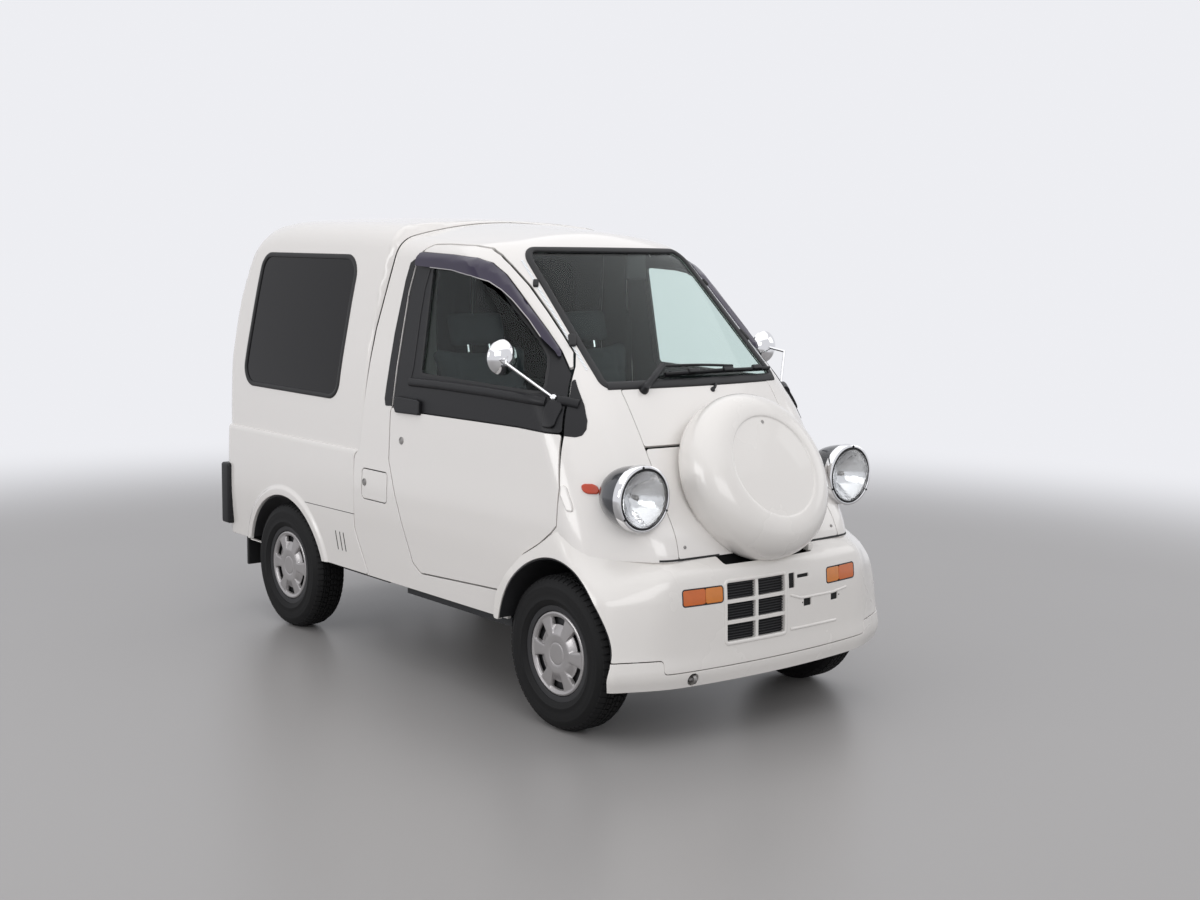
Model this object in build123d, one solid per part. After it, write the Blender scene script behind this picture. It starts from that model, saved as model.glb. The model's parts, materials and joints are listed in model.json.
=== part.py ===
"""Kei truck with a closed, windowed load box, a spare wheel on its nose and pod headlamps.

Millimetres. Ground at z = 0, front faces -Y, the vehicle's left is +X, right-hand drive.
Every y in the tables and shapes is measured back from the front axle; place() sets the
finished pieces about the middle of the vehicle's length.
"""
from build123d import *
import math
import os

# Overall
length = 2895.0
wheel_base = 1840.0
front_overhang = 492.0
sill_z = 327.0
belt_z = 816.0

# Clearances
door_gap = 6.0
panel_gap = 3.0
seat_gap = 0.3
run_gap = 0.3

# Walls
wall = 45.0
roof_wall = 32.0
glass_t = 6.0
glass_set_in = 5.0
door_skin_t = 15.0
door_step = 12.0
floor_t = 30.0

# Wheels
tyre_r = 263.0
tyre_w = 145.0
tyre_shoulder_r = 240.0
rim_r = 148.0
rim_flange_r = 163.0
rim_w = 112.0
cover_r = 142.5
cover_face = 58.0
cover_slots = 6
cover_slot = (40.0, 34.0, 16.0)
cover_slot_r = 120.0
half_track = 552.0
stub_r = 14.0
hub_r = 30.0
wheel_house_x = 340.0
kingpin_x = 535.0

# Wheel arches: how far behind the axle, height of the centre, radius
front_arch_back = -15.0
front_arch_z = 292.0
front_arch_r = 300.0
rear_arch_back = 15.0
rear_arch_z = 240.0
rear_arch_r = 320.0

rear_limit = length - front_overhang
front_axle_y = -length / 2 + front_overhang
rear_step = 14.0
body_rear = rear_limit - rear_step

# Cab body as level sections
cab_sections = [
    # z, y_mid, x_edge, y_edge, x_side, y_side
    (sill_z, -348, 430, -323, 604, -128),
    (620, -363, 435, -343, 622, -118),
    (belt_z, -233, 445, -208, 612, -26),
    (1013, -113, 445, -81, 600, 82),
    (1150, -21, 420, 20, 586, 192),
    (1604, 482, 375, 512, 512, 655),
    (1760, 662, 355, 682, 480, 802),
]
# Load box above the belt and load body below it: height, side x, how far the rear leans in
box_sections = [
    # z, x_side, lean
    (belt_z + seat_gap, 608, 4),
    (1050, 602, 0),
    (1316, 578, 34),
    (1494, 556, 90),
    (1625, 532, 150),
    (1760, 500, 242),
]
bed_sections = [
    # z, x_side, lean
    (sill_z, 612, 0),
    (560, 626, 0),
    (belt_z, 620, 0),
]
edge_r = 60.0
side_r = 90.0
rear_r = 60.0
least_r = 8.0

# Join between the cab and the load box, seen from the side
seam = [
    # y, z
    (1170, 280),
    (1281, 500),
    (1285, 790),
    (1250, 826),
    (1199, 1287),
    (1134, 1551),
    (1085, 1800),
]
cab_roof_profile = [
    # y, z
    (-618, 1560),
    (462, 1652),
    (642, 1672),
    (802, 1690),
    (982, 1703),
    (1182, 1712),
    (1482, 1716),
]
box_roof_profile = [
    # y, z
    (782, 1700),
    (1082, 1712),
    (1232, 1720),
    (1532, 1726),
    (1932, 1727),
    (body_rear - 286, 1716),
    (body_rear - 186, 1690),
    (body_rear - 116, 1648),
    (body_rear + 94, 1430),
    (body_rear + 294, 1300),
]
# Roof cross-sections: crown z, edge x, edge z, shoulder x, shoulder z
cab_roof = (1708, 430, 1655, 515, 1597)
box_roof = (1730, 450, 1706, 540, 1612)
roof_knee = (14.0, 10.0)
roof_fall = 140.0
beyond_x = 720.0
below_all = 100.0

# Outlines seen from the side: y, z
door_outline = [
    (1036, 1028), (1010, 1313), (968, 1530), (937, 1592), (892, 1612), (721, 1610), (597, 1590),
    (512, 1545), (342, 1440), (240, 1344), (151, 1251), (80, 1119), (32, 992), (-3, 820), (-3, 696),
    (60, 600), (240, 440), (300, 422), (821, 398), (872, 430), (981, 669), (1040, 800), (1040, 980),
]
door_window = [
    (860, 1134), (872, 1534), (740, 1544), (612, 1536), (538, 1510), (400, 1404), (330, 1350),
    (206, 1244), (152, 1152), (148, 1124),
]
# Black part of the door: the band under the window, the window's surround and the rear strip
band_outline = [
    (-100, 989), (1100, 1003), (1100, 1588), (967, 1586), (617, 1567), (559, 1551), (437, 1465),
    (187, 1259), (110, 1187), (-100, 1187),
]
band_t = 9.0
# Black garnishes fixed on the cab, behind the door's band and ahead of it
garnish_outlines = [
    [(1000, 1003), (1075, 1003), (1083, 1031), (1071, 1141), (1065, 1275), (1037, 1480), (1020, 1545),
     (960, 1562), (940, 1500), (980, 1200)],
    [(60, 988), (0, 986), (-14, 992), (-17, 1012), (-8, 1039), (23, 1087), (67, 1139), (120, 1195),
     (160, 1180), (100, 1080)],
]
garnish_t = 8.0
side_window = [(body_rear - 155, 1008), (1447, 1005), (1364, 1560), (body_rear - 255, 1564)]
side_window_r = 60.0

# Outlines seen from the front: x, z
screen_outline = [(-400, 1148), (400, 1148), (372, 1600), (-372, 1600)]
nose_outline = [(-382, 604), (382, 604), (350, 900), (352, 1120), (-352, 1120), (-350, 900)]
nose_split_z = 952.0
nose_step_t = 15.0
gate_outline = [(-490, 612), (490, 612), (490, 1100), (440, 1560), (-440, 1560), (-490, 1100)]
gate_window = [(-430, 1010), (430, 1010), (395, 1490), (-395, 1490)]
gate_r = 40.0
gate_window_r = 50.0
gate_hinge_x = 270.0
gate_hinge_y = body_rear - 120.0
gate_hinge_z = gate_outline[3][1] + 2.0
gate_barrel_r = 7.0
gate_barrel_w = 70.0
gate_leaf_h = 22.0
nose_foot_y = -260.0
nose_foot_z = 602.0

# Bumper as level sections, and its flare seen from the side
bumper_sections = [
    # z, y_mid, x_edge, y_edge, x_side, y_side
    (198, -428, 468, -390, 658, -300),
    (250, -438, 474, -402, 668, -312),
    (310, -434, 472, -396, 667, -300),
    (478, -428, 470, -388, 664, -262),
    (541, -422, 462, -380, 655, -215),
    (575, -410, 446, -365, 648, -160),
    (606, -366, 420, -330, 642, -110),
    (655, -340, 400, -300, 632, -60),
    (703, -300, 380, -270, 612, -20),
]
bumper_edge_r = 60.0
bumper_side_r = 90.0
bumper_rear_y = 420.0
bumper_wall = 30.0
bumper_top_z = 606.0
lip_z = 254.0
lip_corner_z = 299.0
lip_corner_x = 480.0
flare_outline = [
    (-520, 199), (-520, 606), (-277, 621), (-195, 686), (-95, 703), (-17, 686), (87, 618), (171, 571),
    (242, 502), (302, 420), (312, 330), (230, 330), (-250, 199),
]
flare_r = 40.0
grille_x = (-231.0, 29.0)
grille_z = (333.0, 527.0)
grille_rows = 3
grille_columns = 2
grille_bar = 20.0
side_cells = [
    # x_low, x_high, z_low, z_high
    (50, 78, 476, 527),
    (92, 150, 506, 518),
]
plate_x = (144.0, 291.0)
plate_z = 419.0
plate_pocket = (38.0, 28.0)
plate_seat_y = -410.0
plate_hole_r = 3.5

# Towing eye, seen through a hole in the lip
eye_x = -370.0
eye_z = 226.0
eye_y = -408.0
eye_t = 12.0
eye_r = 16.0
eye_hole_r = 9.0
eye_port_r = 23.0
eye_bar_h = 24.0
eye_foot_y = (-326.0, -300.0)

# Spare wheel cover
spare_y = -268.0
spare_z = 832.0
spare_tilt = 27.0
spare_r = 292.0
spare_back_r = 262.0
spare_back = 45.0
spare_depth = 140.0
spare_round = 95.0
spare_disc_r = 177.0

# Lamps
lamp_x = 490.0
lamp_y = -299.0
lamp_z = 812.0
lamp_r = 110.0
lamp_lens_r = 92.0
lamp_length = 170.0
signal_x = (247.0, 409.0)
signal_z = (467.0, 522.0)
tail_lamp_x = (548.0, 634.0)
tail_lamp_z = (380.0, 635.0)

# Fuel lid
lid_y = (1037.0, 1225.0)
lid_z = (629.0, 753.0)
lid_gap = 5.0
lid_t = 8.0
lid_pocket = 30.0
lid_hinge_x = 623.5

# Mirrors: the stalk's foot on the door, its elbow, and the middle of the head's back
mirror_foot = (545.0, 114.0, 1108.0)
mirror_elbow = (666.0, 216.0, 1221.0)
mirror_head = (628.0, 262.0, 1236.0)
mirror_r = 61.0
mirror_depth = 34.0
mirror_stalk_r = 5.0
mirror_foot_r = 14.0

# Steering
wheel_lean = 32.0
steering_x = -262.0
steering_y = 330.0
steering_z = 1035.0
steering_r = 180.0
steering_rim_r = 13.0
steering_spoke_w = 26.0
steering_spoke_t = 12.0
steering_hub_r = 38.0
steering_hub_h = 30.0
column_r = 24.0
column_length = 260.0

# Seats
seat_x = 262.0
seat_w = 420.0
seat_y = 480.0
seat_t = 110.0
seat_back_t = 90.0
seat_back_h = 520.0
seat_back_lean = 14.0
seat_base_x = 480.0
seat_base_depth = 430.0
seat_base_wall = 25.0
engine_box_top = 640.0
engine_x = (-200.0, 230.0)

# Exhaust
exhaust_x = 170.0
exhaust_r = 19.0
silencer_r = 62.0
hanger_half_w = 6.0


def level_face(points, radii, mid=None):
    """A level outline at one height, symmetric about x = 0, with rounded corners."""
    z = points[0][2]
    right = [(x, y) for x, y, _ in points]
    left = [(-x, y) for x, y in reversed(right)]
    if mid is None:
        edges = [Line((*left[-1], z), (*right[0], z))]
    else:
        edges = [ThreePointArc((*left[-1], z), (0, mid, z), (*right[0], z))]
    path = right + left
    for a, b in zip(path[:-1], path[1:]):
        edges.append(Line((*a, z), (*b, z)))
    face = make_face(edges).face()
    for (x, y), radius in zip(right, radii):
        if radius > 0:
            corners = [v for v in face.vertices() if abs(abs(v.X) - x) < 0.01 and abs(v.Y - y) < 0.01]
            face = fillet(corners, radius).face()
    if face.normal_at().Z < 0:
        face = -face
    return face


def nose_loft(sections, inset, rear, widen, radii):
    """A closed form with a tapered, bowed nose, set in by a wall."""
    faces = []
    for z, y_mid, x_edge, y_edge, x_side, y_side in sections:
        slant = inset * 0.45
        points = [
            (x_edge - slant, y_edge + inset * 1.05, z),
            (x_side - inset, y_side + slant, z),
            (x_side - inset + widen, rear, z),
        ]
        inner_radii = (max(radii[0] - inset, least_r), max(radii[1] - inset, least_r), 0)
        faces.append(level_face(points, inner_radii, y_mid + inset * 1.05))
    return loft(faces, ruled=True)


def cab_solid(inset):
    return nose_loft(cab_sections, inset, 1400, 6, (edge_r, side_r))


def box_solid(sections, inset):
    """A closed form with rounded rear corners, set in by a wall."""
    faces = []
    for z, x_side, lean in sections:
        rear = body_rear - lean - inset
        points = [(x_side - inset, 920, z), (x_side - inset, rear, z)]
        faces.append(level_face(points, (0, rear_r - inset)))
    return loft(faces, ruled=True)


def side_prism(outline, x_from, x_to, radius=0.0, shrink=0.0):
    """A prism along X from an outline of (y, z) points."""
    face = make_face(Polyline([(0, y, z) for y, z in outline], close=True))
    if radius:
        face = fillet(face.vertices(), radius).face()
    if shrink:
        face = offset(face, -shrink, kind=Kind.INTERSECTION).face()
    return extrude(Pos(x_from, 0, 0) * face, x_to - x_from, dir=(1, 0, 0))


def front_prism(outline, y_from, y_to, radius=0.0, shrink=0.0):
    """A prism along Y from an outline of (x, z) points."""
    face = make_face(Polyline([(x, y_from, z) for x, z in outline], close=True))
    if radius:
        face = fillet(face.vertices(), radius).face()
    if shrink:
        face = offset(face, -shrink, kind=Kind.INTERSECTION).face()
    return extrude(face, y_to - y_from, dir=(0, 1, 0))


def block(x_range, y_range, z_range):
    size = [b - a for a, b in (x_range, y_range, z_range)]
    middle = [(a + b) / 2 for a, b in (x_range, y_range, z_range)]
    return Pos(*middle) * Box(*size)


def rod(start, end, radius):
    """A round bar between two points."""
    direction = Vector(*end) - Vector(*start)
    plane = Plane(origin=start, z_dir=direction)
    return extrude(plane * Circle(radius), direction.length)


def mirrored(shape):
    return mirror(shape, Plane.YZ)


def both_sides(shape):
    return Compound([shape, mirrored(shape)])


def cross_cylinder(y, z, radius, x_from, x_to):
    """A cylinder along X."""
    return Pos((x_from + x_to) / 2, y, z) * Rot(0, 90, 0) * Cylinder(radius, abs(x_to - x_from))


def roof_limit(roof, profile, drop):
    """What lies under the roof: a crowned cross-section and a side profile, both lowered by drop."""
    crown_z, edge_x, edge_z, shoulder_x, shoulder_z = roof
    edges = [ThreePointArc((-edge_x, 0, edge_z), (0, 0, crown_z), (edge_x, 0, edge_z))]
    knee_x = (edge_x + shoulder_x) / 2 + roof_knee[0]
    knee_z = (edge_z + shoulder_z) / 2 + roof_knee[1]
    side_z = shoulder_z - roof_fall
    for s in (-1, 1):
        start = (s * edge_x, 0, edge_z)
        end = (s * shoulder_x, 0, shoulder_z)
        edges.append(ThreePointArc(start, (s * knee_x, 0, knee_z), end))
        edges.append(Line(end, (s * beyond_x, 0, side_z)))
        edges.append(Line((s * beyond_x, 0, side_z), (s * beyond_x, 0, below_all)))
    edges.append(Line((-beyond_x, 0, below_all), (beyond_x, 0, below_all)))
    cross = extrude(make_face(edges), length, dir=(0, 1, 0), both=True)
    points = [(profile[0][0], below_all)] + profile + [(profile[-1][0], below_all)]
    return Pos(0, 0, -drop) * (cross & side_prism(points, -beyond_x, beyond_x))


def ahead_of_seam(shift):
    """The side of the join that the cab is on, moved along Y."""
    points = [(y + shift, z) for y, z in seam]
    ahead = -beyond_x
    return side_prism([(ahead, seam[0][1])] + points + [(ahead, seam[-1][1])], -beyond_x, beyond_x)


# Cab body
cab_outer = cab_solid(0) & roof_limit(cab_roof, cab_roof_profile, 0)
cab_inner = cab_solid(wall) & roof_limit(cab_roof, cab_roof_profile, roof_wall)
cab_skin = cab_outer - cab_inner
cab_glass = cab_solid(glass_set_in) - cab_solid(glass_set_in + glass_t)

# Doors, made on the left and mirrored; the bumper's flares cut their lower front corners
far_x = beyond_x
near_x = 330.0
flare_prism = side_prism(flare_outline, near_x, far_x, flare_r)
door_cut = side_prism(door_outline, near_x, far_x) - flare_prism
door_body = side_prism(door_outline, near_x, far_x, shrink=door_gap)
door_body = door_body - side_prism(flare_outline, near_x, far_x, flare_r, -door_gap)
band = side_prism(band_outline, near_x, far_x)
door_full = (cab_outer - cab_solid(door_skin_t)) & door_body
door_inner = side_prism(door_outline, near_x, far_x, shrink=door_gap + door_step)
door_full = door_full + (cab_skin & door_inner & door_body)
window_hole = side_prism(door_window, near_x, far_x)
door_trim = (cab_outer - cab_solid(band_t)) & door_body & band
door_trim = door_trim - window_hole
door_panel = door_full - window_hole
door_panel = door_panel - (band - cab_solid(band_t + seat_gap))
door_glass = cab_glass & side_prism(door_window, near_x, far_x, shrink=seat_gap)

# Windscreen and nose panels
windscreen = cab_glass & front_prism(screen_outline, -400, 700, shrink=seat_gap)
nose_reach = (-520, 90)
nose_outer = front_prism(nose_outline, *nose_reach, shrink=panel_gap)
nose_inner = front_prism(nose_outline, *nose_reach, shrink=seat_gap)
nose_full = (cab_outer - cab_solid(nose_step_t)) & nose_outer
nose_full = nose_full + (cab_skin & cab_solid(nose_step_t) & nose_inner)
cowl_panel = nose_full & block((-500, 500), nose_reach, (nose_split_z + panel_gap / 2, 1140))
nose_lid = nose_full & block((-500, 500), nose_reach, (500, nose_split_z - panel_gap / 2))

cab_shell = cab_skin & ahead_of_seam(-panel_gap / 2)
cab_shell = cab_shell - both_sides(door_cut)
cab_shell = cab_shell - front_prism(screen_outline, -400, 700)
cab_shell = cab_shell - front_prism(nose_outline, *nose_reach)
front_arch = cross_cylinder(front_arch_back, front_arch_z, front_arch_r, wheel_house_x, far_x)
arch_reach = (front_arch_back - front_arch_r, front_arch_back + front_arch_r)
front_arch = front_arch + block((wheel_house_x, far_x), arch_reach, (0, front_arch_z))
cab_shell = cab_shell - both_sides(front_arch)
cab_shell = cab_shell - block((-far_x, far_x), (-520, nose_foot_y), (300, nose_foot_z))

# Garnishes, set into the cab's skin
garnish_space = cab_outer - cab_solid(garnish_t + seat_gap)
garnish_skin = cab_outer - cab_solid(garnish_t)
garnishes = []
for outline in garnish_outlines:
    garnishes.append((garnish_skin & side_prism(outline, near_x, far_x)) - door_cut)
    cab_shell = cab_shell - both_sides(garnish_space & side_prism(outline, near_x, far_x, shrink=-seat_gap))
pillar_garnishes = Compound(garnishes + [mirrored(piece) for piece in garnishes])

# Load body and load box
bed_full = box_solid(bed_sections, 0) - box_solid(bed_sections, wall)
box_outer = box_solid(box_sections, 0) & roof_limit(box_roof, box_roof_profile, 0)
box_inner = box_solid(box_sections, wall) & roof_limit(box_roof, box_roof_profile, roof_wall)
box_full = box_outer - box_inner
box_glass = box_solid(box_sections, 2) - box_solid(box_sections, 2 + glass_t)
side_glasses = both_sides(box_glass & side_prism(side_window, 400, far_x, side_window_r, seat_gap))

gate_reach = (body_rear - 310, body_rear + 110)
gate_cut = front_prism(gate_outline, *gate_reach, gate_r)
gate_body = front_prism(gate_outline, *gate_reach, gate_r, door_gap)
gate_half_width = gate_outline[1][0]
tailgate = gate_body & box_full
tailgate = tailgate + (gate_body & bed_full)
tailgate = tailgate + block((-gate_half_width + door_gap, gate_half_width - door_gap),
                            (body_rear - wall + 2, body_rear - 2), (belt_z - 6, belt_z + 6))
tailgate = tailgate - front_prism(gate_window, *gate_reach, gate_window_r)
tailgate_glass = box_glass & front_prism(gate_window, *gate_reach, gate_window_r, seat_gap)

behind_seam = ahead_of_seam(panel_gap / 2)
box_shell = box_full - behind_seam - gate_cut
box_shell = box_shell - both_sides(side_prism(side_window, 400, far_x, side_window_r))
bed_shell = bed_full - behind_seam - gate_cut
rear_arch_y = wheel_base + rear_arch_back
bed_shell = bed_shell - both_sides(cross_cylinder(rear_arch_y, rear_arch_z, rear_arch_r, 400, far_x))

# Tailgate hinges: barrels on the gate, in recesses of the load box's roof edge
hinge_line = (gate_hinge_y, gate_hinge_z)
half_barrel = gate_barrel_w / 2
for s in (-1, 1):
    middle = s * gate_hinge_x
    barrel = cross_cylinder(*hinge_line, gate_barrel_r, middle - half_barrel, middle + half_barrel)
    half_recess = half_barrel + panel_gap
    recess_r = gate_barrel_r + run_gap
    recess = cross_cylinder(*hinge_line, recess_r, middle - half_recess, middle + half_recess)
    leaf = block((middle - half_barrel, middle + half_barrel),
                 (gate_hinge_y - gate_barrel_r + 2, gate_hinge_y + 2),
                 (gate_hinge_z - gate_leaf_h, gate_hinge_z))
    tailgate = tailgate + barrel + leaf
    box_shell = box_shell - recess

# Fuel lid, on the right of the cab behind the door
lid_space = block((-far_x, -cab_sections[1][4] + lid_pocket), lid_y, lid_z)
lid_reach = (lid_z[0] + lid_gap, lid_z[1] - lid_gap)
lid_plate = block((-far_x, -near_x), (lid_y[0] + lid_gap, lid_y[1] - lid_gap), lid_reach)
fuel_lid = (cab_outer - cab_solid(lid_t)) & lid_plate
lid_hinge_y = lid_y[0] + lid_gap / 2
lid_pin = Cylinder(lid_gap / 2 - seat_gap, lid_reach[1] - lid_reach[0])
lid_barrel = Pos(-lid_hinge_x, lid_hinge_y, sum(lid_z) / 2) * lid_pin
leaf_y = (lid_hinge_y, lid_y[0] + lid_gap + 1)
lid_leaf = block((-lid_hinge_x, -lid_hinge_x + lid_t / 2), leaf_y, lid_reach)
fuel_lid = fuel_lid + lid_barrel + lid_leaf
cab_shell = cab_shell - lid_space

# Floor: low in the cab, a riser behind the seats, high over the rear wheels
floor_top = sill_z
floor_side = 585.0
load_floor_top = 600.0
riser_y = 925.0
rail_top = floor_top - floor_t
in_cab = cab_solid(wall + seat_gap)
in_bed = box_solid(bed_sections, wall + seat_gap)
floor_pan = block((-floor_side, floor_side), (-280, riser_y + floor_t), (rail_top, floor_top))
riser = block((-far_x, far_x), (riser_y, riser_y + floor_t), (floor_top, load_floor_top))
floor_pan = floor_pan + (riser & in_cab)
load_floor_z = (load_floor_top - floor_t, load_floor_top)
load_floor = block((-far_x, far_x), (riser_y, body_rear - wall - seat_gap), load_floor_z)
floor_pan = floor_pan + (load_floor & in_cab & ahead_of_seam(0))
floor_pan = floor_pan + (load_floor & in_bed - ahead_of_seam(0))
floor_pan = floor_pan - both_sides(block((wheel_house_x, far_x), arch_reach, (0, 500)))

# Front wheel houses: a curved liner and an inner wall around each front wheel
house_t = 4.0
house = cross_cylinder(front_arch_back, front_arch_z, front_arch_r + house_t, wheel_house_x - house_t, far_x)
house = (house - front_arch) & in_cab & block((0, far_x), (-400, 400), (floor_top, 700))
wheel_houses = both_sides(house)

# Chassis rails and cross members
rail_x = 300.0
rail_w = 50.0
rail_h = 90.0
rail_low = rail_top - rail_h
rear_rail_top = load_floor_top - floor_t
rail_outline = [
    (-330, rail_low), (1000, rail_low), (1150, rear_rail_top - rail_h),
    (body_rear - 60, rear_rail_top - rail_h),
    (body_rear - 60, rear_rail_top), (1070, rear_rail_top), (riser_y + floor_t, rail_top), (-330, rail_top),
]
chassis = side_prism(rail_outline, rail_x - rail_w / 2, rail_x + rail_w / 2)
chassis = chassis + mirrored(chassis)
cross_members = [
    # y, z_low, z_high
    (-300, rail_top - 75, rail_top - 15),
    (330, rail_top - 30, rail_top),
    (seat_y + 60, rail_low, rail_low + 30),
    (seat_y + 360, rail_low, rail_low + 30),
    (1250, rear_rail_top - 60, rear_rail_top),
    (2200, rear_rail_top - 60, rear_rail_top),
]
for y, z_low, z_high in cross_members:
    chassis = chassis + block((-rail_x, rail_x), (y - 25, y + 25), (z_low, z_high))



def bumper_solid(inset):
    """The form of the front bumper and its flares, set in by a wall."""
    return nose_loft(bumper_sections, inset, bumper_rear_y, -22, (bumper_edge_r, bumper_side_r))


def below_lip(shift):
    """What lies under the line between the bumper and its lip, moved up by shift."""
    low = block((-far_x, far_x), (-520, -200), (100, lip_z + shift))
    corner = block((lip_corner_x, far_x), (-520, -200), (100, lip_corner_z + shift))
    return low + corner + mirrored(corner)


# Front bumper, lip and flares
clear_cab = cab_solid(-seat_gap)
hollow_z = (below_all, bumper_top_z - bumper_wall)
bumper_hollow = bumper_solid(bumper_wall) & block((-far_x, far_x), (-520, -250), hollow_z)
bumper_all = bumper_solid(0) & side_prism(flare_outline, -far_x, far_x, flare_r)
bumper_all = bumper_all - bumper_hollow - clear_cab - both_sides(front_arch)
bumper_all = bumper_all - block((-wheel_house_x, wheel_house_x), (-250, 500), (0, 900))
lip_ledge = bumper_all & bumper_solid(bumper_wall / 2) & below_lip(panel_gap / 2 - seat_gap)
bumper_lip = (bumper_all & below_lip(-panel_gap / 2)) + lip_ledge
bumper_lip = bumper_lip - Pos(eye_x, -400, eye_z) * Rot(90, 0, 0) * Cylinder(eye_port_r, 200)
front_bumper = bumper_all - below_lip(panel_gap / 2)
front_bumper = front_bumper - block((-224, 201), (-400, -250), (560, 700))
cell_w = (grille_x[1] - grille_x[0] - (grille_columns - 1) * grille_bar) / grille_columns
cell_h = (grille_z[1] - grille_z[0] - (grille_rows - 1) * grille_bar) / grille_rows
for column in range(grille_columns):
    for row in range(grille_rows):
        x0 = grille_x[0] + column * (cell_w + grille_bar)
        z0 = grille_z[0] + row * (cell_h + grille_bar)
        front_bumper = front_bumper - block((x0, x0 + cell_w), (-520, -340), (z0, z0 + cell_h))
for x_low, x_high, z_low, z_high in side_cells:
    front_bumper = front_bumper - block((x_low, x_high), (-520, -340), (z_low, z_high))
half_pocket = (plate_pocket[0] / 2, plate_pocket[1] / 2)
for x in plate_x:
    pocket = block((x - half_pocket[0], x + half_pocket[0]), (-520, plate_seat_y),
                   (plate_z - half_pocket[1], plate_z + half_pocket[1]))
    hole = Pos(x, plate_seat_y, plate_z) * Rot(90, 0, 0) * Cylinder(plate_hole_r, 200)
    front_bumper = front_bumper - pocket - hole
signal_seat_y = -378.0
front_bumper = front_bumper - both_sides(block(signal_x, (-520, signal_seat_y), signal_z))
signal_fill = block((signal_x[0] + seat_gap, signal_x[1] - seat_gap), (-520, signal_seat_y - seat_gap),
                    (signal_z[0] + seat_gap, signal_z[1] - seat_gap))
front_signals = both_sides(bumper_solid(1.0) & signal_fill)

# Towing eye on the end of the right-hand rail
tow_eye = Pos(eye_x, eye_y, eye_z) * Rot(0, 90, 0) * Cylinder(eye_r, eye_t)
eye_side = eye_x - eye_t / 2
eye_bar_z = (eye_z - eye_bar_h / 2, eye_z + eye_bar_h / 2)
tow_eye = tow_eye + block((eye_side, eye_side + eye_t), (eye_y, eye_foot_y[1]), eye_bar_z)
tow_eye = tow_eye + block((eye_side, -rail_x - rail_w / 2 - seat_gap), eye_foot_y, eye_bar_z)
tow_eye = tow_eye - Pos(eye_x, eye_y, eye_z) * Rot(0, 90, 0) * Cylinder(eye_hole_r, 2 * eye_t)

radiator = block((-250, 150), (-325, -285), (rail_top - 15 + seat_gap, 560))

# Spare wheel cover
spare_normal = (0, -math.cos(math.radians(spare_tilt)), math.sin(math.radians(spare_tilt)))
spare_plane = Plane(origin=(0, spare_y, spare_z), x_dir=(1, 0, 0), z_dir=spare_normal)


def cover_form(grow, disc_step):
    """The cover's turned form about its own axis."""
    r = spare_r + grow
    front = spare_depth + grow
    back = -spare_back - grow
    bow = spare_round * (1 - math.sqrt(0.5))
    disc = front - disc_step
    corners = [(spare_disc_r + 4, front), (spare_disc_r, disc), (0, disc), (0, back)]
    corners = corners + [(spare_back_r + grow, back), (r, back + 35), (r, front - spare_round)]
    line = Polyline([(a, 0, b) for a, b in [(r - spare_round, front)] + corners])
    arc = ThreePointArc((r, 0, front - spare_round), (r - bow, 0, front - bow), (r - spare_round, 0, front))
    return spare_plane * revolve(make_face([line, arc]), Axis.Z)


spare_cover = cover_form(0, 4) - cab_solid(-seat_gap)
spare_cover = spare_cover.solids().sort_by(SortBy.VOLUME)[-1]
front_bumper = front_bumper - cover_form(door_gap, 0.5)

# Headlamps
pod_outline = make_face([
    Line((0, 0, 0), (lamp_r, 0, 0)),
    Line((lamp_r, 0, 0), (lamp_r, 0, -22)),
    Line((lamp_r, 0, -22), (lamp_r - 8, 0, -30)),
    ThreePointArc((lamp_r - 8, 0, -30), (lamp_r - 28, 0, -105), (lamp_r - 66, 0, -lamp_length)),
    Line((lamp_r - 66, 0, -lamp_length), (0, 0, -lamp_length)),
    Line((0, 0, -lamp_length), (0, 0, 0)),
])
pod_plane = Plane(origin=(lamp_x, lamp_y, lamp_z), x_dir=(1, 0, 0), z_dir=(0, -1, 0))
pod = pod_plane * revolve(pod_outline, Axis.Z)
pod = pod - pod_plane * (Pos(0, 0, -20) * Cylinder(lamp_lens_r + seat_gap, 40.1))
pod = pod - cab_solid(-seat_gap)
lens = pod_plane * (Pos(0, 0, -20) * Cylinder(lamp_lens_r, 39.5))
lens_ball = Pos(0, 0, -lamp_lens_r * 1.6) * Sphere(lamp_lens_r * 1.9)
lens = lens + pod_plane * (lens_ball & Pos(0, 0, 10) * Cylinder(lamp_lens_r, 20.5))
lens = lens - cab_solid(-seat_gap)
headlamp_pods = both_sides(pod)
headlamp_lenses = both_sides(lens)

# Tail lamps and rear bumper
tail_lamp = block(tail_lamp_x, (body_rear - 55, rear_limit), tail_lamp_z)
tail_lamp = tail_lamp - box_solid(bed_sections, -seat_gap)
tail_lamps = both_sides(tail_lamp)
rear_bumper = block((-540, 540), (body_rear + seat_gap, rear_limit), (sill_z, 440))

# Mirrors on their stalks: a domed back towards the front, the glass towards the rear
dome = revolve(make_face([
    Line((0, 0, 0), (mirror_r, 0, 0)),
    Line((mirror_r, 0, 0), (mirror_r, 0, 6)),
    ThreePointArc((mirror_r, 0, 6), (mirror_r * 0.72, 0, mirror_depth * 0.72), (0, 0, mirror_depth)),
    Line((0, 0, mirror_depth), (0, 0, 0)),
]), Axis.Z)
head_plane = Plane(origin=mirror_head, x_dir=(1, 0, 0), z_dir=(0, -1, 0))
door_mirror = head_plane * (Pos(0, 0, -mirror_depth) * dome)
door_mirror = door_mirror + rod(mirror_foot, mirror_elbow, mirror_stalk_r)
door_mirror = door_mirror + Pos(*mirror_elbow) * Sphere(mirror_stalk_r)
head_joint = (mirror_head[0], mirror_head[1] + 8, mirror_head[2])
door_mirror = door_mirror + rod(mirror_elbow, head_joint, mirror_stalk_r)
door_mirror = door_mirror + Pos(*mirror_foot) * Sphere(mirror_foot_r)
door_mirror = door_mirror - cab_solid(-seat_gap)
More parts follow.
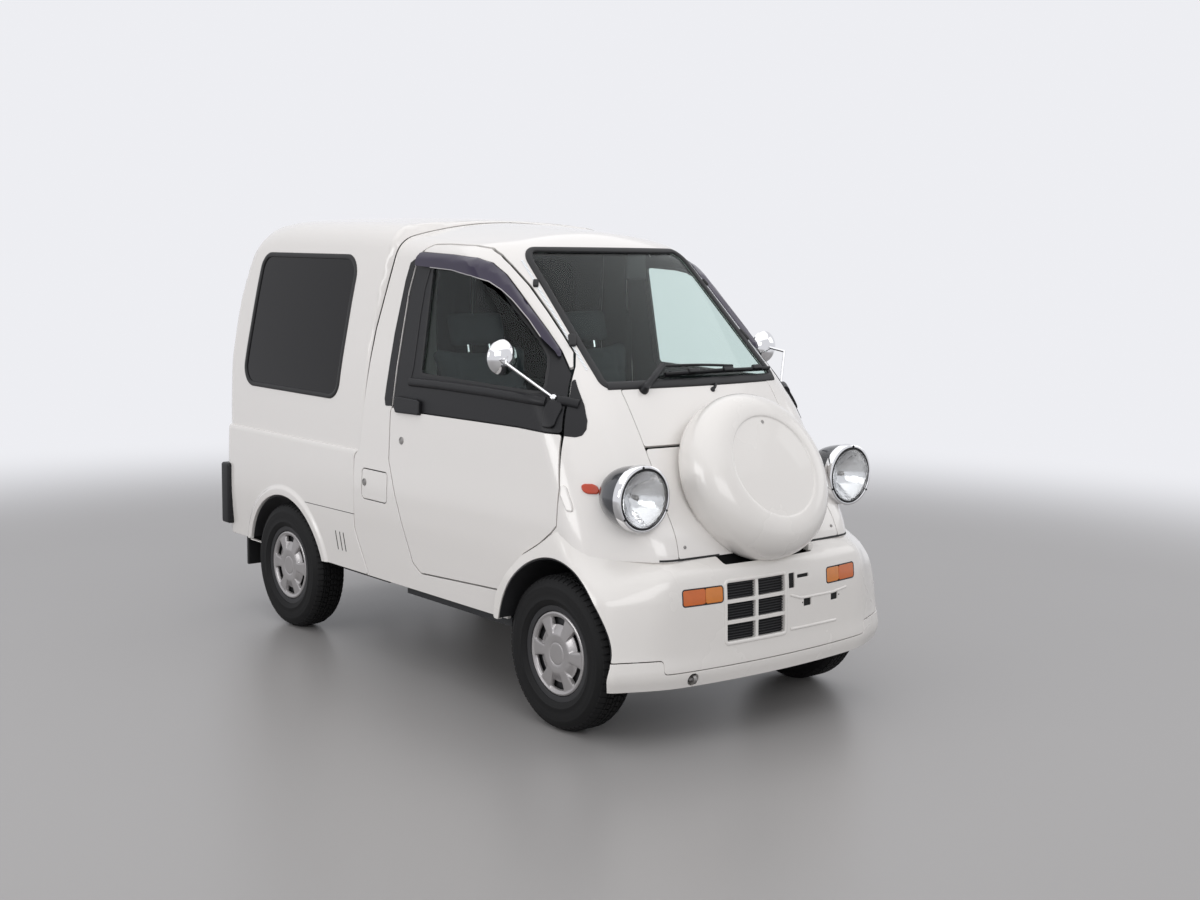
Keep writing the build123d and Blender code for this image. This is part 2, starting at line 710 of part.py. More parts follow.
door_mirror = door_mirror.solids().sort_by(SortBy.VOLUME)[-1]

# Dashboard, steering column and wheel
dashboard = side_prism([(100, 700), (100, 1090), (330, 1075), (350, 900), (330, 700)], -520, 520)
dashboard = dashboard & cab_solid(wall + 60)
dash_mount = side_prism([(-100, 960), (-100, 1075), (110, 1090), (110, 1000)], -380, 380)
dashboard = dashboard + (dash_mount & cab_solid(wall + seat_gap))
steer_dir = (0, math.sin(math.radians(wheel_lean)), math.cos(math.radians(wheel_lean)))
wheel_plane = Plane(origin=(steering_x, steering_y + 110, steering_z), x_dir=(1, 0, 0), z_dir=steer_dir)
spokes = Box(2 * steering_r, steering_spoke_w, steering_spoke_t)
hub = Cylinder(steering_hub_r, steering_hub_h)
steering_wheel = wheel_plane * (Torus(steering_r, steering_rim_r) + hub + spokes)
column_middle = -(steering_hub_h + column_length) / 2 - run_gap
column = wheel_plane * (Pos(0, 0, column_middle) * Cylinder(column_r, column_length))
column_bore = Cylinder(column_r + run_gap, 2 * column_length)
dashboard = dashboard - wheel_plane * (Pos(0, 0, column_middle) * column_bore)

# Seats on a base over the engine
seat_base_end = seat_y + seat_base_depth
seat_base = block((-seat_base_x, seat_base_x), (seat_y, seat_base_end), (floor_top, engine_box_top))
hollow_x = seat_base_x - seat_base_wall
hollow_y = (seat_y + seat_base_wall, seat_base_end - seat_base_wall)
seat_base = seat_base - block((-hollow_x, hollow_x), hollow_y,
                              (floor_top - 1, engine_box_top - seat_base_wall))
engine = block(engine_x, (seat_y + 40, seat_y + 390), (rail_low + 30, engine_box_top - 40))
floor_pan = floor_pan - block((engine_x[0] - 20, engine_x[1] + 20), (seat_y + 30, seat_y + 400), (0, 700))
seat = block((-seat_w / 2, seat_w / 2), (seat_y - 20, seat_y + 400),
             (engine_box_top + seat_gap, engine_box_top + seat_t))
seat_back = Rot(-seat_back_lean, 0, 0) * Box(seat_w, seat_back_t, seat_back_h)
seat = seat + Pos(0, seat_y + 405, engine_box_top + 330) * seat_back
seats = Compound([Pos(-seat_x, 0, 0) * seat, Pos(seat_x, 0, 0) * seat])

# Front suspension and knuckles
hub_z = tyre_r
ball_z = hub_z - 100.0
arm_t = 18.0
arm_foot = rail_x + rail_w / 2
front_arm = block((arm_foot, kingpin_x), (-15, 15), (ball_z - arm_t, ball_z))
front_arm = front_arm + Pos(kingpin_x, 0, ball_z - arm_t / 2) * Cylinder(18, arm_t)
front_arm = front_arm + block((arm_foot, arm_foot + 14), (-40, 40), (ball_z - arm_t, rail_top))
top_z = hub_z + 92.0
upper_arm = block((wheel_house_x, kingpin_x), (-15, 15), (top_z, top_z + arm_t))
upper_arm = upper_arm + Pos(kingpin_x, 0, top_z + arm_t / 2) * Cylinder(18, arm_t)
upper_arm = upper_arm + block((wheel_house_x, wheel_house_x + 10), (-40, 40), (top_z - 15, top_z + 35))
front_suspension = Compound([front_arm, upper_arm, mirrored(front_arm), mirrored(upper_arm)])
knuckle = block((kingpin_x - 30, kingpin_x - 8), (-35, 35), (ball_z + seat_gap, top_z - seat_gap))
knuckle = knuckle + Pos(kingpin_x, 0, ball_z + 6 + seat_gap) * Cylinder(16, 12)
low_z = ball_z + seat_gap
knuckle = knuckle + block((kingpin_x - 30, kingpin_x), (-16, 16), (low_z, low_z + 12))
knuckle = knuckle + Pos(kingpin_x, 0, top_z - 6 - seat_gap) * Cylinder(16, 12)
knuckle = knuckle + block((kingpin_x - 30, kingpin_x), (-16, 16), (top_z - seat_gap - 12, top_z - seat_gap))
knuckle = knuckle + cross_cylinder(0, hub_z, stub_r, kingpin_x - 20, half_track + 26)

# Rear axle, springs and propeller shaft
rear_axle = cross_cylinder(wheel_base, hub_z, 32, -half_track + 72, half_track - 72)
rear_axle = rear_axle + cross_cylinder(wheel_base, hub_z, stub_r, -half_track - 26, half_track + 26)
rear_axle = rear_axle + Pos(0, wheel_base, hub_z) * Sphere(95)
rear_axle = rear_axle + rod((0, seat_y + 390 + seat_gap, rail_top - 45), (0, wheel_base, hub_z), 22)
spring_z = hub_z - 45.0
spring_half = 330.0
for s in (-1, 1):
    across = (s * rail_x - 20, s * rail_x + 20)
    along = (wheel_base - spring_half, wheel_base + spring_half)
    rear_axle = rear_axle + block(across, along, (spring_z - 12, spring_z + 12))
    rear_axle = rear_axle + block(across, (wheel_base - 35, wheel_base + 35), (spring_z, hub_z))
    for e in (-1, 1):
        reach = sorted((e * (spring_half - 30), e * spring_half))
        rear_axle = rear_axle + block(across, (wheel_base + reach[0], wheel_base + reach[1]),
                                      (spring_z - 12, rear_rail_top - rail_h))

# Fuel tank and exhaust, hung under the load floor
fuel_tank = block((-260, -60), (1290, 1540), (rear_rail_top - 150, rear_rail_top))
exhaust_route = [
    # y, z
    (seat_y + 390 + seat_gap, rail_top - 20),
    (1300, rail_top - 20),
    (1600, rail_top + 60),
    (1700, hub_z + 130),
    (2000, hub_z + 130),
    (2150, rail_top - 30),
    (2330, rail_top - 30),
]
exhaust = Pos(exhaust_x, 1430, rail_top - 5) * Rot(90, 0, 0) * Cylinder(silencer_r, 260)
for (y0, z0), (y1, z1) in zip(exhaust_route[:-1], exhaust_route[1:]):
    exhaust = exhaust + rod((exhaust_x, y0, z0), (exhaust_x, y1, z1), exhaust_r)
    exhaust = exhaust + Pos(exhaust_x, y1, z1) * Sphere(exhaust_r)
hanger_x = (exhaust_x - hanger_half_w, exhaust_x + hanger_half_w)
exhaust = exhaust + block(hanger_x, (1410, 1450), (rail_top, rear_rail_top))
exhaust = exhaust + block(hanger_x, (1980, 2010), (hub_z + 130, rear_rail_top))


# Wheels, spinning about their own x axis at the origin, outer face towards +X
def ring_profile(points):
    """A revolved ring from a closed outline of (radius, x) points."""
    face = make_face(Polyline([(r, 0, x) for r, x in points], close=True))
    return Rot(0, 90, 0) * revolve(face, Axis.Z)


half_rim = rim_w / 2
tyre_points = [
    (rim_r + seat_gap, -half_rim + 8.6), (rim_flange_r + seat_gap, -half_rim + 0.6),
    (rim_flange_r + seat_gap, -half_rim - 4), (205, -tyre_w / 2),
    (tyre_shoulder_r, -tyre_w / 2 + 6), (tyre_r - 4, -tyre_w / 2 + 22), (tyre_r, -tyre_w / 2 + 34),
    (tyre_r, tyre_w / 2 - 34), (tyre_r - 4, tyre_w / 2 - 22), (tyre_shoulder_r, tyre_w / 2 - 6),
    (205, tyre_w / 2), (rim_flange_r + seat_gap, half_rim + 4),
    (rim_flange_r + seat_gap, half_rim - 0.6), (rim_r + seat_gap, half_rim - 8.6),
]
tyre = ring_profile(tyre_points)
rim_points = [
    (rim_r - 6, -half_rim), (rim_flange_r, -half_rim - 3), (rim_flange_r, -half_rim), (rim_r, -half_rim + 8),
    (rim_r, half_rim - 8), (rim_flange_r, half_rim), (rim_flange_r, half_rim + 3), (rim_r - 6, half_rim),
]
rim = ring_profile(rim_points)
rim = rim + ring_profile([(stub_r + run_gap, 0), (rim_r - 3, 8), (rim_r - 3, 16), (stub_r + run_gap, 8)])
rim = rim + ring_profile([(stub_r + run_gap, -8), (hub_r, -8), (hub_r, 30), (stub_r + run_gap, 30)])
cover_points = [
    (0, cover_face - 4), (70, cover_face - 4), (cover_r, cover_face - 16), (cover_r, cover_face - 12),
    (120, cover_face), (70, cover_face + 2), (55, cover_face), (0, cover_face),
]
cover = ring_profile(cover_points)
cover_foot = [(hub_r - 6, 29), (hub_r, 29), (hub_r + 8, cover_face - 2), (hub_r, cover_face - 2)]
cover = cover + ring_profile(cover_foot)
for k in range(cover_slots):
    angle = (k + 0.5) * 360 / cover_slots
    cover = cover - Rot(angle, 0, 0) * (Pos(cover_face - 5, 0, cover_slot_r) * Box(*cover_slot))
skirt_x = (40, cover_face - 14)
cover = cover + ring_profile([
    (cover_r - 4, skirt_x[0]), (cover_r, skirt_x[0]), (cover_r, skirt_x[1]), (cover_r - 4, skirt_x[1]),
])
rim = rim + cover

wheel_places = [
    ("front_left", half_track, 0, 1),
    ("front_right", -half_track, 0, -1),
    ("rear_left", half_track, wheel_base, 1),
    ("rear_right", -half_track, wheel_base, -1),
]

parts = {
    "floor_pan": floor_pan,
    "wheel_houses": wheel_houses,
    "chassis_frame": chassis,
    "cab_shell": cab_shell,
    "pillar_garnishes": pillar_garnishes,
    "cowl_panel": cowl_panel,
    "nose_lid": nose_lid,
    "windscreen": windscreen,
    "bed_shell": bed_shell,
    "box_shell": box_shell,
    "side_glasses": side_glasses,
    "tailgate": tailgate,
    "tailgate_glass": tailgate_glass,
    "front_bumper": front_bumper,
    "bumper_lip": bumper_lip,
    "front_signals": front_signals,
    "tow_eye": tow_eye,
    "radiator": radiator,
    "spare_wheel_cover": spare_cover,
    "headlamp_pods": headlamp_pods,
    "headlamp_lenses": headlamp_lenses,
    "tail_lamps": tail_lamps,
    "rear_bumper": rear_bumper,
    "dashboard": dashboard,
    "steering_column": column,
    "steering_wheel": steering_wheel,
    "seat_base": seat_base,
    "seats": seats,
    "engine": engine,
    "front_suspension": front_suspension,
    "knuckle_left": knuckle,
    "knuckle_right": mirrored(knuckle),
    "rear_axle": rear_axle,
    "fuel_tank": fuel_tank,
    "exhaust": exhaust,
    "fuel_lid": fuel_lid,
}
door_pieces = {"panel": door_panel, "trim": door_trim, "glass": door_glass, "mirror": door_mirror}
for side, flip in (("left", False), ("right", True)):
    for name, shape in door_pieces.items():
        parts[f"door_{side}_{name}"] = mirrored(shape) if flip else shape
for name, x, y, s in wheel_places:
    for piece, shape in (("tyre", tyre), ("wheel", rim)):
        turned = shape if s > 0 else mirrored(shape)
        parts[f"{piece}_{name}"] = Pos(x, y, hub_z) * turned


def place(shape):
    return Pos(0, front_axle_y, 0) * shape


os.makedirs("parts", exist_ok=True)
for name, shape in parts.items():
    export_step(place(shape), f"parts/{name}.step")
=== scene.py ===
"""Looks of a small white truck with a closed, windowed load box and a spare wheel on its nose.

Metres, ground at z = 0, front towards -Y, right-hand drive. Tables of y are measured back
from the front axle in millimetres, seen from the side as (y, z) or from the front as (x, z).
"""
import json
import math

import bmesh
import bpy
import numpy as np
from mathutils import Matrix, Vector
from mathutils.geometry import delaunay_2d_cdt
from mathutils.kdtree import KDTree


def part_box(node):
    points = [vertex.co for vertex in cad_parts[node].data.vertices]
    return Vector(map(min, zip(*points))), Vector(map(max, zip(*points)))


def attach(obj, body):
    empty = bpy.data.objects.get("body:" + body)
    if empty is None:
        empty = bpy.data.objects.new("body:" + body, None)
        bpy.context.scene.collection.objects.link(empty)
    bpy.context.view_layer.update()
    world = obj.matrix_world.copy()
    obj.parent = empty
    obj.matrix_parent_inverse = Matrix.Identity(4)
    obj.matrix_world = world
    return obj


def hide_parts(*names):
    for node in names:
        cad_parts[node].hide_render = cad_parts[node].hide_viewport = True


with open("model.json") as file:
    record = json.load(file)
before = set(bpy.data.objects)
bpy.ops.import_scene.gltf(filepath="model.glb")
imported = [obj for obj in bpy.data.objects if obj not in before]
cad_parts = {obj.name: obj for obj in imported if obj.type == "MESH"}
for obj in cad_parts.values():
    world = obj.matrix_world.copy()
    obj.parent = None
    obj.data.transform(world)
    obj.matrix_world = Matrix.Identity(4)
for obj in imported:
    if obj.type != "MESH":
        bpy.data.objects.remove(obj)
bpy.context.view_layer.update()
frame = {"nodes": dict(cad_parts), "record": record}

MM = 0.001

# Places taken from the frame
tyre_low, tyre_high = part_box("tyre_front_left")
AXLE_Y = (tyre_low.y + tyre_high.y) / 2
HUB_Z = (tyre_low.z + tyre_high.z) / 2
HALF_TRACK = (tyre_low.x + tyre_high.x) / 2
REAR_AXLE = (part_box("tyre_rear_left")[0].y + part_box("tyre_rear_left")[1].y) / 2 - AXLE_Y
BODY_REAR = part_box("bed_shell")[1].y - AXLE_Y
SILL_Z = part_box("cab_shell")[0].z
BELT_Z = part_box("bed_shell")[1].z


def mm(rows):
    """A table of millimetres as an array of metres."""
    return np.array(rows, float) * MM


# Body forms as level sections, front to rear: z, y_mid, x_edge, y_edge, x_side, y_side
CAB_SECTIONS = mm([
    (300, -346, 429, -321, 603, -128),
    (480, -356, 433, -334, 614, -124),
    (600, -360, 435, -340, 620, -116),
    (660, -345, 436, -322, 620, -98),
    (816, -233, 445, -208, 612, -26),
    (1013, -113, 445, -81, 600, 82),
    (1140, -28, 422, 12, 587, 182),
    (1240, 78, 411, 118, 571, 284),
    (1604, 482, 375, 512, 512, 655),
    (1780, 685, 352, 702, 476, 818),
])
BUMPER_SECTIONS = mm([
    (198, -428, 468, -390, 658, -300),
    (250, -438, 474, -402, 668, -312),
    (310, -434, 472, -396, 667, -300),
    (478, -428, 470, -388, 664, -262),
    (541, -422, 462, -380, 655, -215),
    (575, -410, 446, -365, 648, -160),
    (606, -366, 420, -330, 642, -110),
    (655, -340, 400, -300, 632, -60),
    (710, -296, 378, -266, 612, -16),
])
# Load box and load body: z, x_side, how far the rear leans in
BOX_SECTIONS = mm([
    (560, 608, 3),
    (816, 608, 3),
    (1050, 602, 3),
    (1316, 578, 34),
    (1494, 556, 90),
    (1625, 534, 150),
    (1800, 500, 262),
])
BED_SECTIONS = mm([
    (300, 610, 0),
    (327, 612, 0),
    (560, 625, 0),
    (690, 624, 0),
    (816, 620, 0),
])
# Roof centre lines: y, z
CAB_ROOF = mm([(-700, 1553), (462, 1652), (642, 1671), (802, 1686), (982, 1698), (1182, 1706), (1500, 1708)])
BOX_ROOF = mm([(700, 1694), (1082, 1710), (1232, 1718), (1532, 1725), (1932, 1726), (2102, 1715),
               (2202, 1690), (2272, 1652), (2420, 1540)])
# Join between the cab and the load box
SEAM = mm([(1170, 280), (1281, 500), (1285, 790), (1250, 826), (1199, 1287), (1134, 1551), (1085, 1800)])

# Outlines seen from the side
VISOR_TOP = [(962, 1584), (752, 1577), (617, 1567), (559, 1550), (495, 1510), (437, 1463), (350, 1393),
             (264, 1324), (187, 1259), (166, 1226)]
VISOR_LOW = [(200, 1252), (260, 1293), (328, 1350), (411, 1413), (465, 1449), (516, 1477), (598, 1502),
             (719, 1520), (860, 1527), (965, 1532)]
WINDOW = [(858, 1136), (872, 1536), (740, 1546), (612, 1538), (540, 1512), (470, 1464), (400, 1405),
          (330, 1350), (260, 1294), (206, 1244), (180, 1205), (150, 1150), (146, 1122)]
GARNISH_REAR = [(1030, 1006), (1075, 1004), (1083, 1031), (1071, 1141), (1065, 1275), (1037, 1480),
                (1020, 1545), (968, 1572), (987, 1531), (1008, 1440), (1017.5, 1267), (1023.5, 1106)]
GARNISH_FRONT = [(29, 989), (0, 986), (-14, 992), (-17, 1012), (-8, 1039), (23, 1087), (67, 1139),
                 (109, 1190), (77, 1121)]
SIDE_WINDOW = [(2236, 1011), (1445, 1008), (1362, 1560), (2136, 1562)]
FRONT_ARCH = mm([-15, 292, 300])
REAR_ARCH = mm([1855, 240, 320])

# Outlines seen from the front
SCREEN = [(-400, 1150), (400, 1150), (372, 1600), (-372, 1600)]
SCREEN_CORNERS = (0.02, 0.02, 0.05, 0.05)
NOSE_EDGE = [(382, 606), (372, 700), (350, 900), (352, 1141)]
GATE = [(-490, 612), (490, 612), (490, 1100), (440, 1560), (-440, 1560), (-490, 1100)]
GATE_WINDOW = [(-430, 1010), (430, 1010), (395, 1490), (-395, 1490)]


def smooth_max(a, b, blend):
    """The larger of two distances, with their crossing rounded over."""
    near = np.maximum(blend - np.abs(a - b), 0) / blend
    return np.maximum(a, b) + near * near * blend / 4


def curve_through(rows):
    """Smooth values between a table's rows, without overshoot. The first column is where they hold."""
    at, values = rows[:, 0], rows[:, 1:]
    slopes = np.diff(values, axis=0) / np.diff(at)[:, None]
    tangents = np.vstack([slopes[:1], np.zeros((len(at) - 2, values.shape[1])), slopes[-1:]])
    product = slopes[:-1] * slopes[1:]
    total = slopes[:-1] + slopes[1:]
    tangents[1:-1] = np.where(product > 0, 2 * product / np.where(total == 0, 1, total), 0)

    def values_at(q):
        q = np.clip(q, at[0], at[-1])
        i = np.clip(np.searchsorted(at, q, side="right") - 1, 0, len(at) - 2)
        width = (at[i + 1] - at[i])[:, None]
        t = (q - at[i])[:, None] / width
        from_left = values[i] * (1 + 2 * t) * (1 - t) ** 2 + tangents[i] * width * t * (1 - t) ** 2
        from_right = values[i + 1] * t * t * (3 - 2 * t) - tangents[i + 1] * width * t * t * (1 - t)
        return (from_left + from_right).T

    return values_at


def nose_form(sections, rear, widen, corner, side_corner):
    """A body with a bowed front, slanted corners and straight sides, as a distance below 0 inside."""
    section = curve_through(sections)

    def form(p):
        x, y = np.abs(p[:, 0]), p[:, 1]
        y_mid, x_edge, y_edge, x_side, y_side = section(p[:, 2])
        front = y_mid + (y_edge - y_mid) * (x / x_edge) ** 2 - y
        dx, dy = x_side - x_edge, y_side - y_edge
        slant = ((x - x_edge) * dy - (y - y_edge) * dx) / np.hypot(dx, dy)
        flank = x - x_side - widen * (y - y_side) / (rear - y_side)
        return smooth_max(smooth_max(front, slant, corner), flank, side_corner)

    return form


def box_form(sections, corner):
    """A body with straight sides and a leaning rear, as a distance below 0 inside."""
    section = curve_through(sections)

    def form(p):
        x_side, lean = section(p[:, 2])
        return smooth_max(np.abs(p[:, 0]) - x_side, p[:, 1] - (BODY_REAR - lean), corner)

    return form


def roofed(form, centre_line, drop, half_width, corner):
    """The form under a crowned roof with rounded edges."""
    height = curve_through(centre_line)

    def whole(p):
        crown = height(p[:, 1])[0] - drop * (p[:, 0] / half_width) ** 2
        return smooth_max(form(p), p[:, 2] - crown, corner)

    return whole


cab = roofed(nose_form(CAB_SECTIONS, 1.4, 0.006, 0.03, 0.035), CAB_ROOF, 0.053, 0.43, 0.062)
whole_box = roofed(box_form(BOX_SECTIONS, 0.05), BOX_ROOF, 0.024, 0.45, 0.09)
load_bed = box_form(BED_SECTIONS, 0.05)
bumper = nose_form(BUMPER_SECTIONS, 0.42, -0.022, 0.022, 0.045)


def seam_at(z):
    """How far back the join is at a height."""
    return np.interp(z, SEAM[:, 1], SEAM[:, 0])


def load_box(p):
    """The load box, with its front edge eased down to the cab where they join."""
    behind = p[:, 1] - seam_at(p[:, 2])
    return smooth_max(whole_box(p), cab(p) - 1.3 * behind, 0.010)


def slope_of(form, p):
    """Unit outward normals of a form at points."""
    h = 2e-4
    g = np.stack([form(p + step) - form(p - step) for step in np.eye(3) * h], 1)
    return g / np.maximum(np.linalg.norm(g, axis=1, keepdims=True), 1e-12)


def cast(form, start, direction, reach=3.0):
    """Where rays from inside leave a form."""
    start, direction = np.broadcast_arrays(np.array(start, float), np.array(direction, float))
    near, far = np.zeros(len(start)), np.full(len(start), reach)
    for _ in range(36):
        middle = (near + far) / 2
        inside = form(start + direction * middle[:, None]) < 0
        near, far = np.where(inside, middle, near), np.where(inside, far, middle)
    return start + direction * near[:, None]


def settled(form, p, rounds=5):
    """Points moved onto a form's surface, straight along its slope."""
    h = 2e-4
    for _ in range(rounds):
        g = np.stack([form(p + step) - form(p - step) for step in np.eye(3) * h], 1) / (2 * h)
        p = p - g * (form(p) / np.maximum((g * g).sum(1), 1e-9))[:, None]
    return p


def rounded(points, radius, closed=True):
    """An outline with rounded corners, as (a, b) points in metres."""
    points = mm(points)
    radii = np.broadcast_to(radius, len(points))
    found = []
    for i, b in enumerate(points):
        radius = radii[i]
        if not closed and i in (0, len(points) - 1):
            found.append(b)
            continue
        a, c = points[i - 1], points[(i + 1) % len(points)]
        back, ahead = a - b, c - b
        back_length, ahead_length = np.linalg.norm(back), np.linalg.norm(ahead)
        back, ahead = back / back_length, ahead / ahead_length
        turn = math.pi - math.acos(max(-1.0, min(1.0, float(back @ ahead))))
        if turn < 0.02 or radius == 0:
            found.append(b)
            continue
        cut = min(radius * math.tan(turn / 2), 0.47 * back_length, 0.47 * ahead_length)
        r = cut / math.tan(turn / 2)
        middle = b + (back + ahead) / np.linalg.norm(back + ahead) * r / math.cos(turn / 2)
        first, last = b + back * cut - middle, b + ahead * cut - middle
        steps = max(1, math.ceil(turn / 0.18))
        for k in range(steps + 1):
            t = k / steps
            spoke = math.sin((1 - t) * turn) * first + math.sin(t * turn) * last
            found.append(middle + spoke / math.sin(turn) if turn < 3.1 else middle + first)
    return np.array(found)


def divided(points, step=0.009, closed=True):
    """A line with its long runs divided evenly."""
    found = []
    last = len(points) if closed else len(points) - 1
    for i in range(last):
        a, b = points[i], points[(i + 1) % len(points)]
        count = max(1, math.ceil(np.linalg.norm(b - a) / step))
        for k in range(count):
            found.append(a + (b - a) * k / count)
    if not closed:
        found.append(points[-1])
    return np.array(found)


def grown(outline, by):
    """A closed flat outline moved outwards, or inwards where by is negative."""
    ahead = np.roll(outline, -1, axis=0) - np.roll(outline, 1, axis=0)
    across = np.stack([ahead[:, 1], -ahead[:, 0]], 1)
    across /= np.maximum(np.linalg.norm(across, axis=1, keepdims=True), 1e-12)
    a, b = outline.T
    area = (a * np.roll(b, -1) - np.roll(a, -1) * b).sum()
    return outline + across * (by if area > 0 else -by)


def seen_from_side(form, outline, side=1):
    """A flat (y, z) line laid on a form's left (1) or right (-1) side."""
    start = np.column_stack([np.zeros(len(outline)), outline])
    return cast(form, start, (side, 0.0, 0.0))


def seen_from_end(form, outline, end=-1, core_y=0.6):
    """A flat (x, z) line laid on a form's front (-1) or rear (1)."""
    start = np.column_stack([outline[:, 0], np.full(len(outline), core_y), outline[:, 1]])
    return cast(form, start, (0.0, end, 0.0))


def mirrored(points):
    return points * np.array([-1.0, 1.0, 1.0])


def within(q, loop):
    """Which flat points lie inside a closed flat loop."""
    found = []
    a, b = loop, np.roll(loop, -1, axis=0)
    rise = np.where(b[:, 1] == a[:, 1], 1e-30, b[:, 1] - a[:, 1])
    for part in np.array_split(q, max(1, len(q) // 1500)):
        v = part[:, 1][:, None]
        crosses = (a[:, 1] > v) != (b[:, 1] > v)
        where = (b[:, 0] - a[:, 0]) * (v - a[:, 1]) / rise + a[:, 0]
        found.append((crosses & (part[:, 0][:, None] < where)).sum(1) % 2 == 1)
    return np.concatenate(found)


def unit(v):
    return v / np.maximum(np.linalg.norm(v, axis=-1, keepdims=True), 1e-12)


def spread_on(form, low, high, centre, grid):
    """Evenly spread points on a form within a box, from three grids of straight rays."""
    found = []
    for axis in range(3):
        u, v = [k for k in range(3) if k != axis]
        a = np.arange(low[u], high[u] + grid, grid)
        b = np.arange(low[v], high[v] + grid, grid)
        start = np.zeros((len(a) * len(b), 3))
        start[:, u] = np.repeat(a, len(b))
        start[:, v] = np.tile(b, len(a))
        start[:, axis] = centre[axis]
        start = start[form(start) < 0]
        if not len(start):
            continue
        for way in (-1, 1):
            direction = np.zeros(3)
            direction[axis] = way
            p = cast(form, start, direction)
            n = np.abs(slope_of(form, p))
            p = p[(n[:, axis] >= n.max(1) - 1e-9) & (p >= low).all(1) & (p <= high).all(1)]
            found.append(p)
    return np.concatenate(found)


def placed(name, data):
    """A new object in the scene, at the origin."""
    made = bpy.data.objects.new(name, data)
    bpy.context.scene.collection.objects.link(made)
    return made


def finished(name, verts, faces, material, body, slot=None, angle=None, normals=None):
    """A mesh object at the origin, given in the axle frame, that rides on a body."""
    mesh = bpy.data.meshes.new(name)
    verts = np.array(verts, float) + (0.0, AXLE_Y, 0.0)
    mesh.from_pydata([tuple(v) for v in verts], [], [tuple(int(i) for i in f) for f in faces])
    mesh.validate()
    mesh.polygons.foreach_set("use_smooth", [True] * len(mesh.polygons))
    if angle is not None:
        mesh.set_sharp_from_angle(angle=math.radians(angle))
    if normals is not None and len(normals) == len(mesh.loops):
        mesh.normals_split_custom_set([tuple(n) for n in normals])
    mesh.materials.append(material)
    piece = placed(name, mesh)
    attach(piece, body)
    return piece


